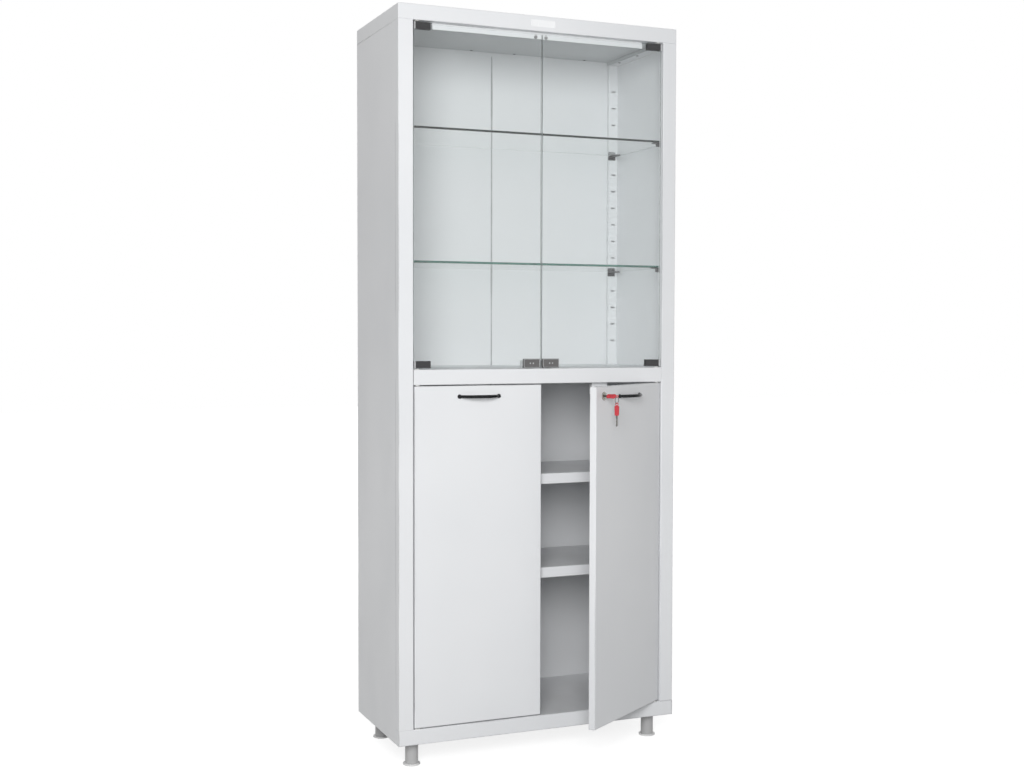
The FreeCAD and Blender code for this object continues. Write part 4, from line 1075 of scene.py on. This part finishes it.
def background_ray(tree):
    """One where a ray comes from the camera, a mirror or glass, and nought elsewhere."""
    ray = add(tree, "ShaderNodeLightPath").outputs
    seen = worked(tree, "MAXIMUM", ray["Is Camera Ray"], ray["Is Glossy Ray"])
    return worked(tree, "MAXIMUM", seen, ray["Is Transmission Ray"])


def set_sky(settings):
    """Plain white all round for the camera, mirrors and glass, and a dim even light for the rest."""
    world = bpy.data.worlds.new("white_room")
    world.use_nodes = True
    tree = world.node_tree
    strength = ranged(tree, background_ray(tree), (0.0, 1.0), (settings.sky, 1.0))
    feed_all(tree, tree.nodes["Background"], Color=(1.0, 1.0, 1.0), Strength=strength)
    bpy.context.scene.world = world


def set_floor(settings):
    """A wide pale floor: it glows almost white for the camera, and what light it gets shows the shadow."""
    half = settings.floor / 2
    tone, paler = (0.44, 0.44, 0.44), (0.46, 0.46, 0.46)
    mesh = bpy.data.meshes.new("floor")
    corners = [(-half, -half, 0), (half, -half, 0), (half, half, 0), (-half, half, 0)]
    mesh.from_pydata(corners, [], [(0, 1, 2, 3)])
    floor = new_object("floor", mesh)
    material, tree, shader, vector = new_material("pale_floor")
    tree.nodes.remove(shader)
    clouds = ranged(tree, noise(tree, vector, scale=3.0, detail=3.0), (0.3, 0.7))
    paper = fed(tree, "ShaderNodeBsdfDiffuse", blended(tree, clouds, tone, paler))
    away = fed(tree, "ShaderNodeVectorMath", vector, operation="LENGTH").outputs["Value"]
    fade = ranged(tree, away, (settings.glow_start, settings.glow_end), (settings.glow, 1.0))
    glow = add(tree, "ShaderNodeEmission")
    feed_all(tree, glow, Strength=scaled(tree, fade, by=background_ray(tree)))
    both = fed(tree, "ShaderNodeAddShader", paper.outputs["BSDF"], glow.outputs["Emission"])
    feed_all(tree, tree.nodes["Material Output"], Surface=both.outputs["Shader"])
    mesh.materials.append(material)


OPERATORS = (CABINET_OT_finish_frame, CABINET_OT_handles, CABINET_OT_lock, CABINET_OT_keys, CABINET_OT_feet,
             CABINET_OT_buffers, CABINET_OT_plates, CABINET_OT_collars, CABINET_OT_stage)


class CABINET_PT_looks(bpy.types.Panel):
    """Lists the steps that dress the cabinet"""

    bl_label = "Cabinet looks"
    bl_idname = "CABINET_PT_looks"
    bl_space_type = "VIEW_3D"
    bl_region_type = "UI"
    bl_category = "Cabinet"

    def draw(self, context):
        for operator in OPERATORS:
            self.layout.operator(operator.bl_idname)


CLASSES = (CoatSettings, GlassSettings, FittingSettings, ShapeSettings, StageSettings, CabinetLooks,
           *OPERATORS, CABINET_PT_looks)


def register():
    """Register the classes and keep the settings on the scene."""
    for kind in CLASSES:
        bpy.utils.register_class(kind)
    bpy.types.Scene.cabinet_looks = PointerProperty(type=CabinetLooks)


def unregister():
    """Take the settings and the classes away again."""
    del bpy.types.Scene.cabinet_looks
    for kind in reversed(CLASSES):
        bpy.utils.unregister_class(kind)


def main():
    """Dress the cabinet step by step."""
    register()
    for operator in OPERATORS:
        group, name = operator.bl_idname.split(".")
        getattr(getattr(bpy.ops, group), name)()


if __name__ == "__main__":
    main()
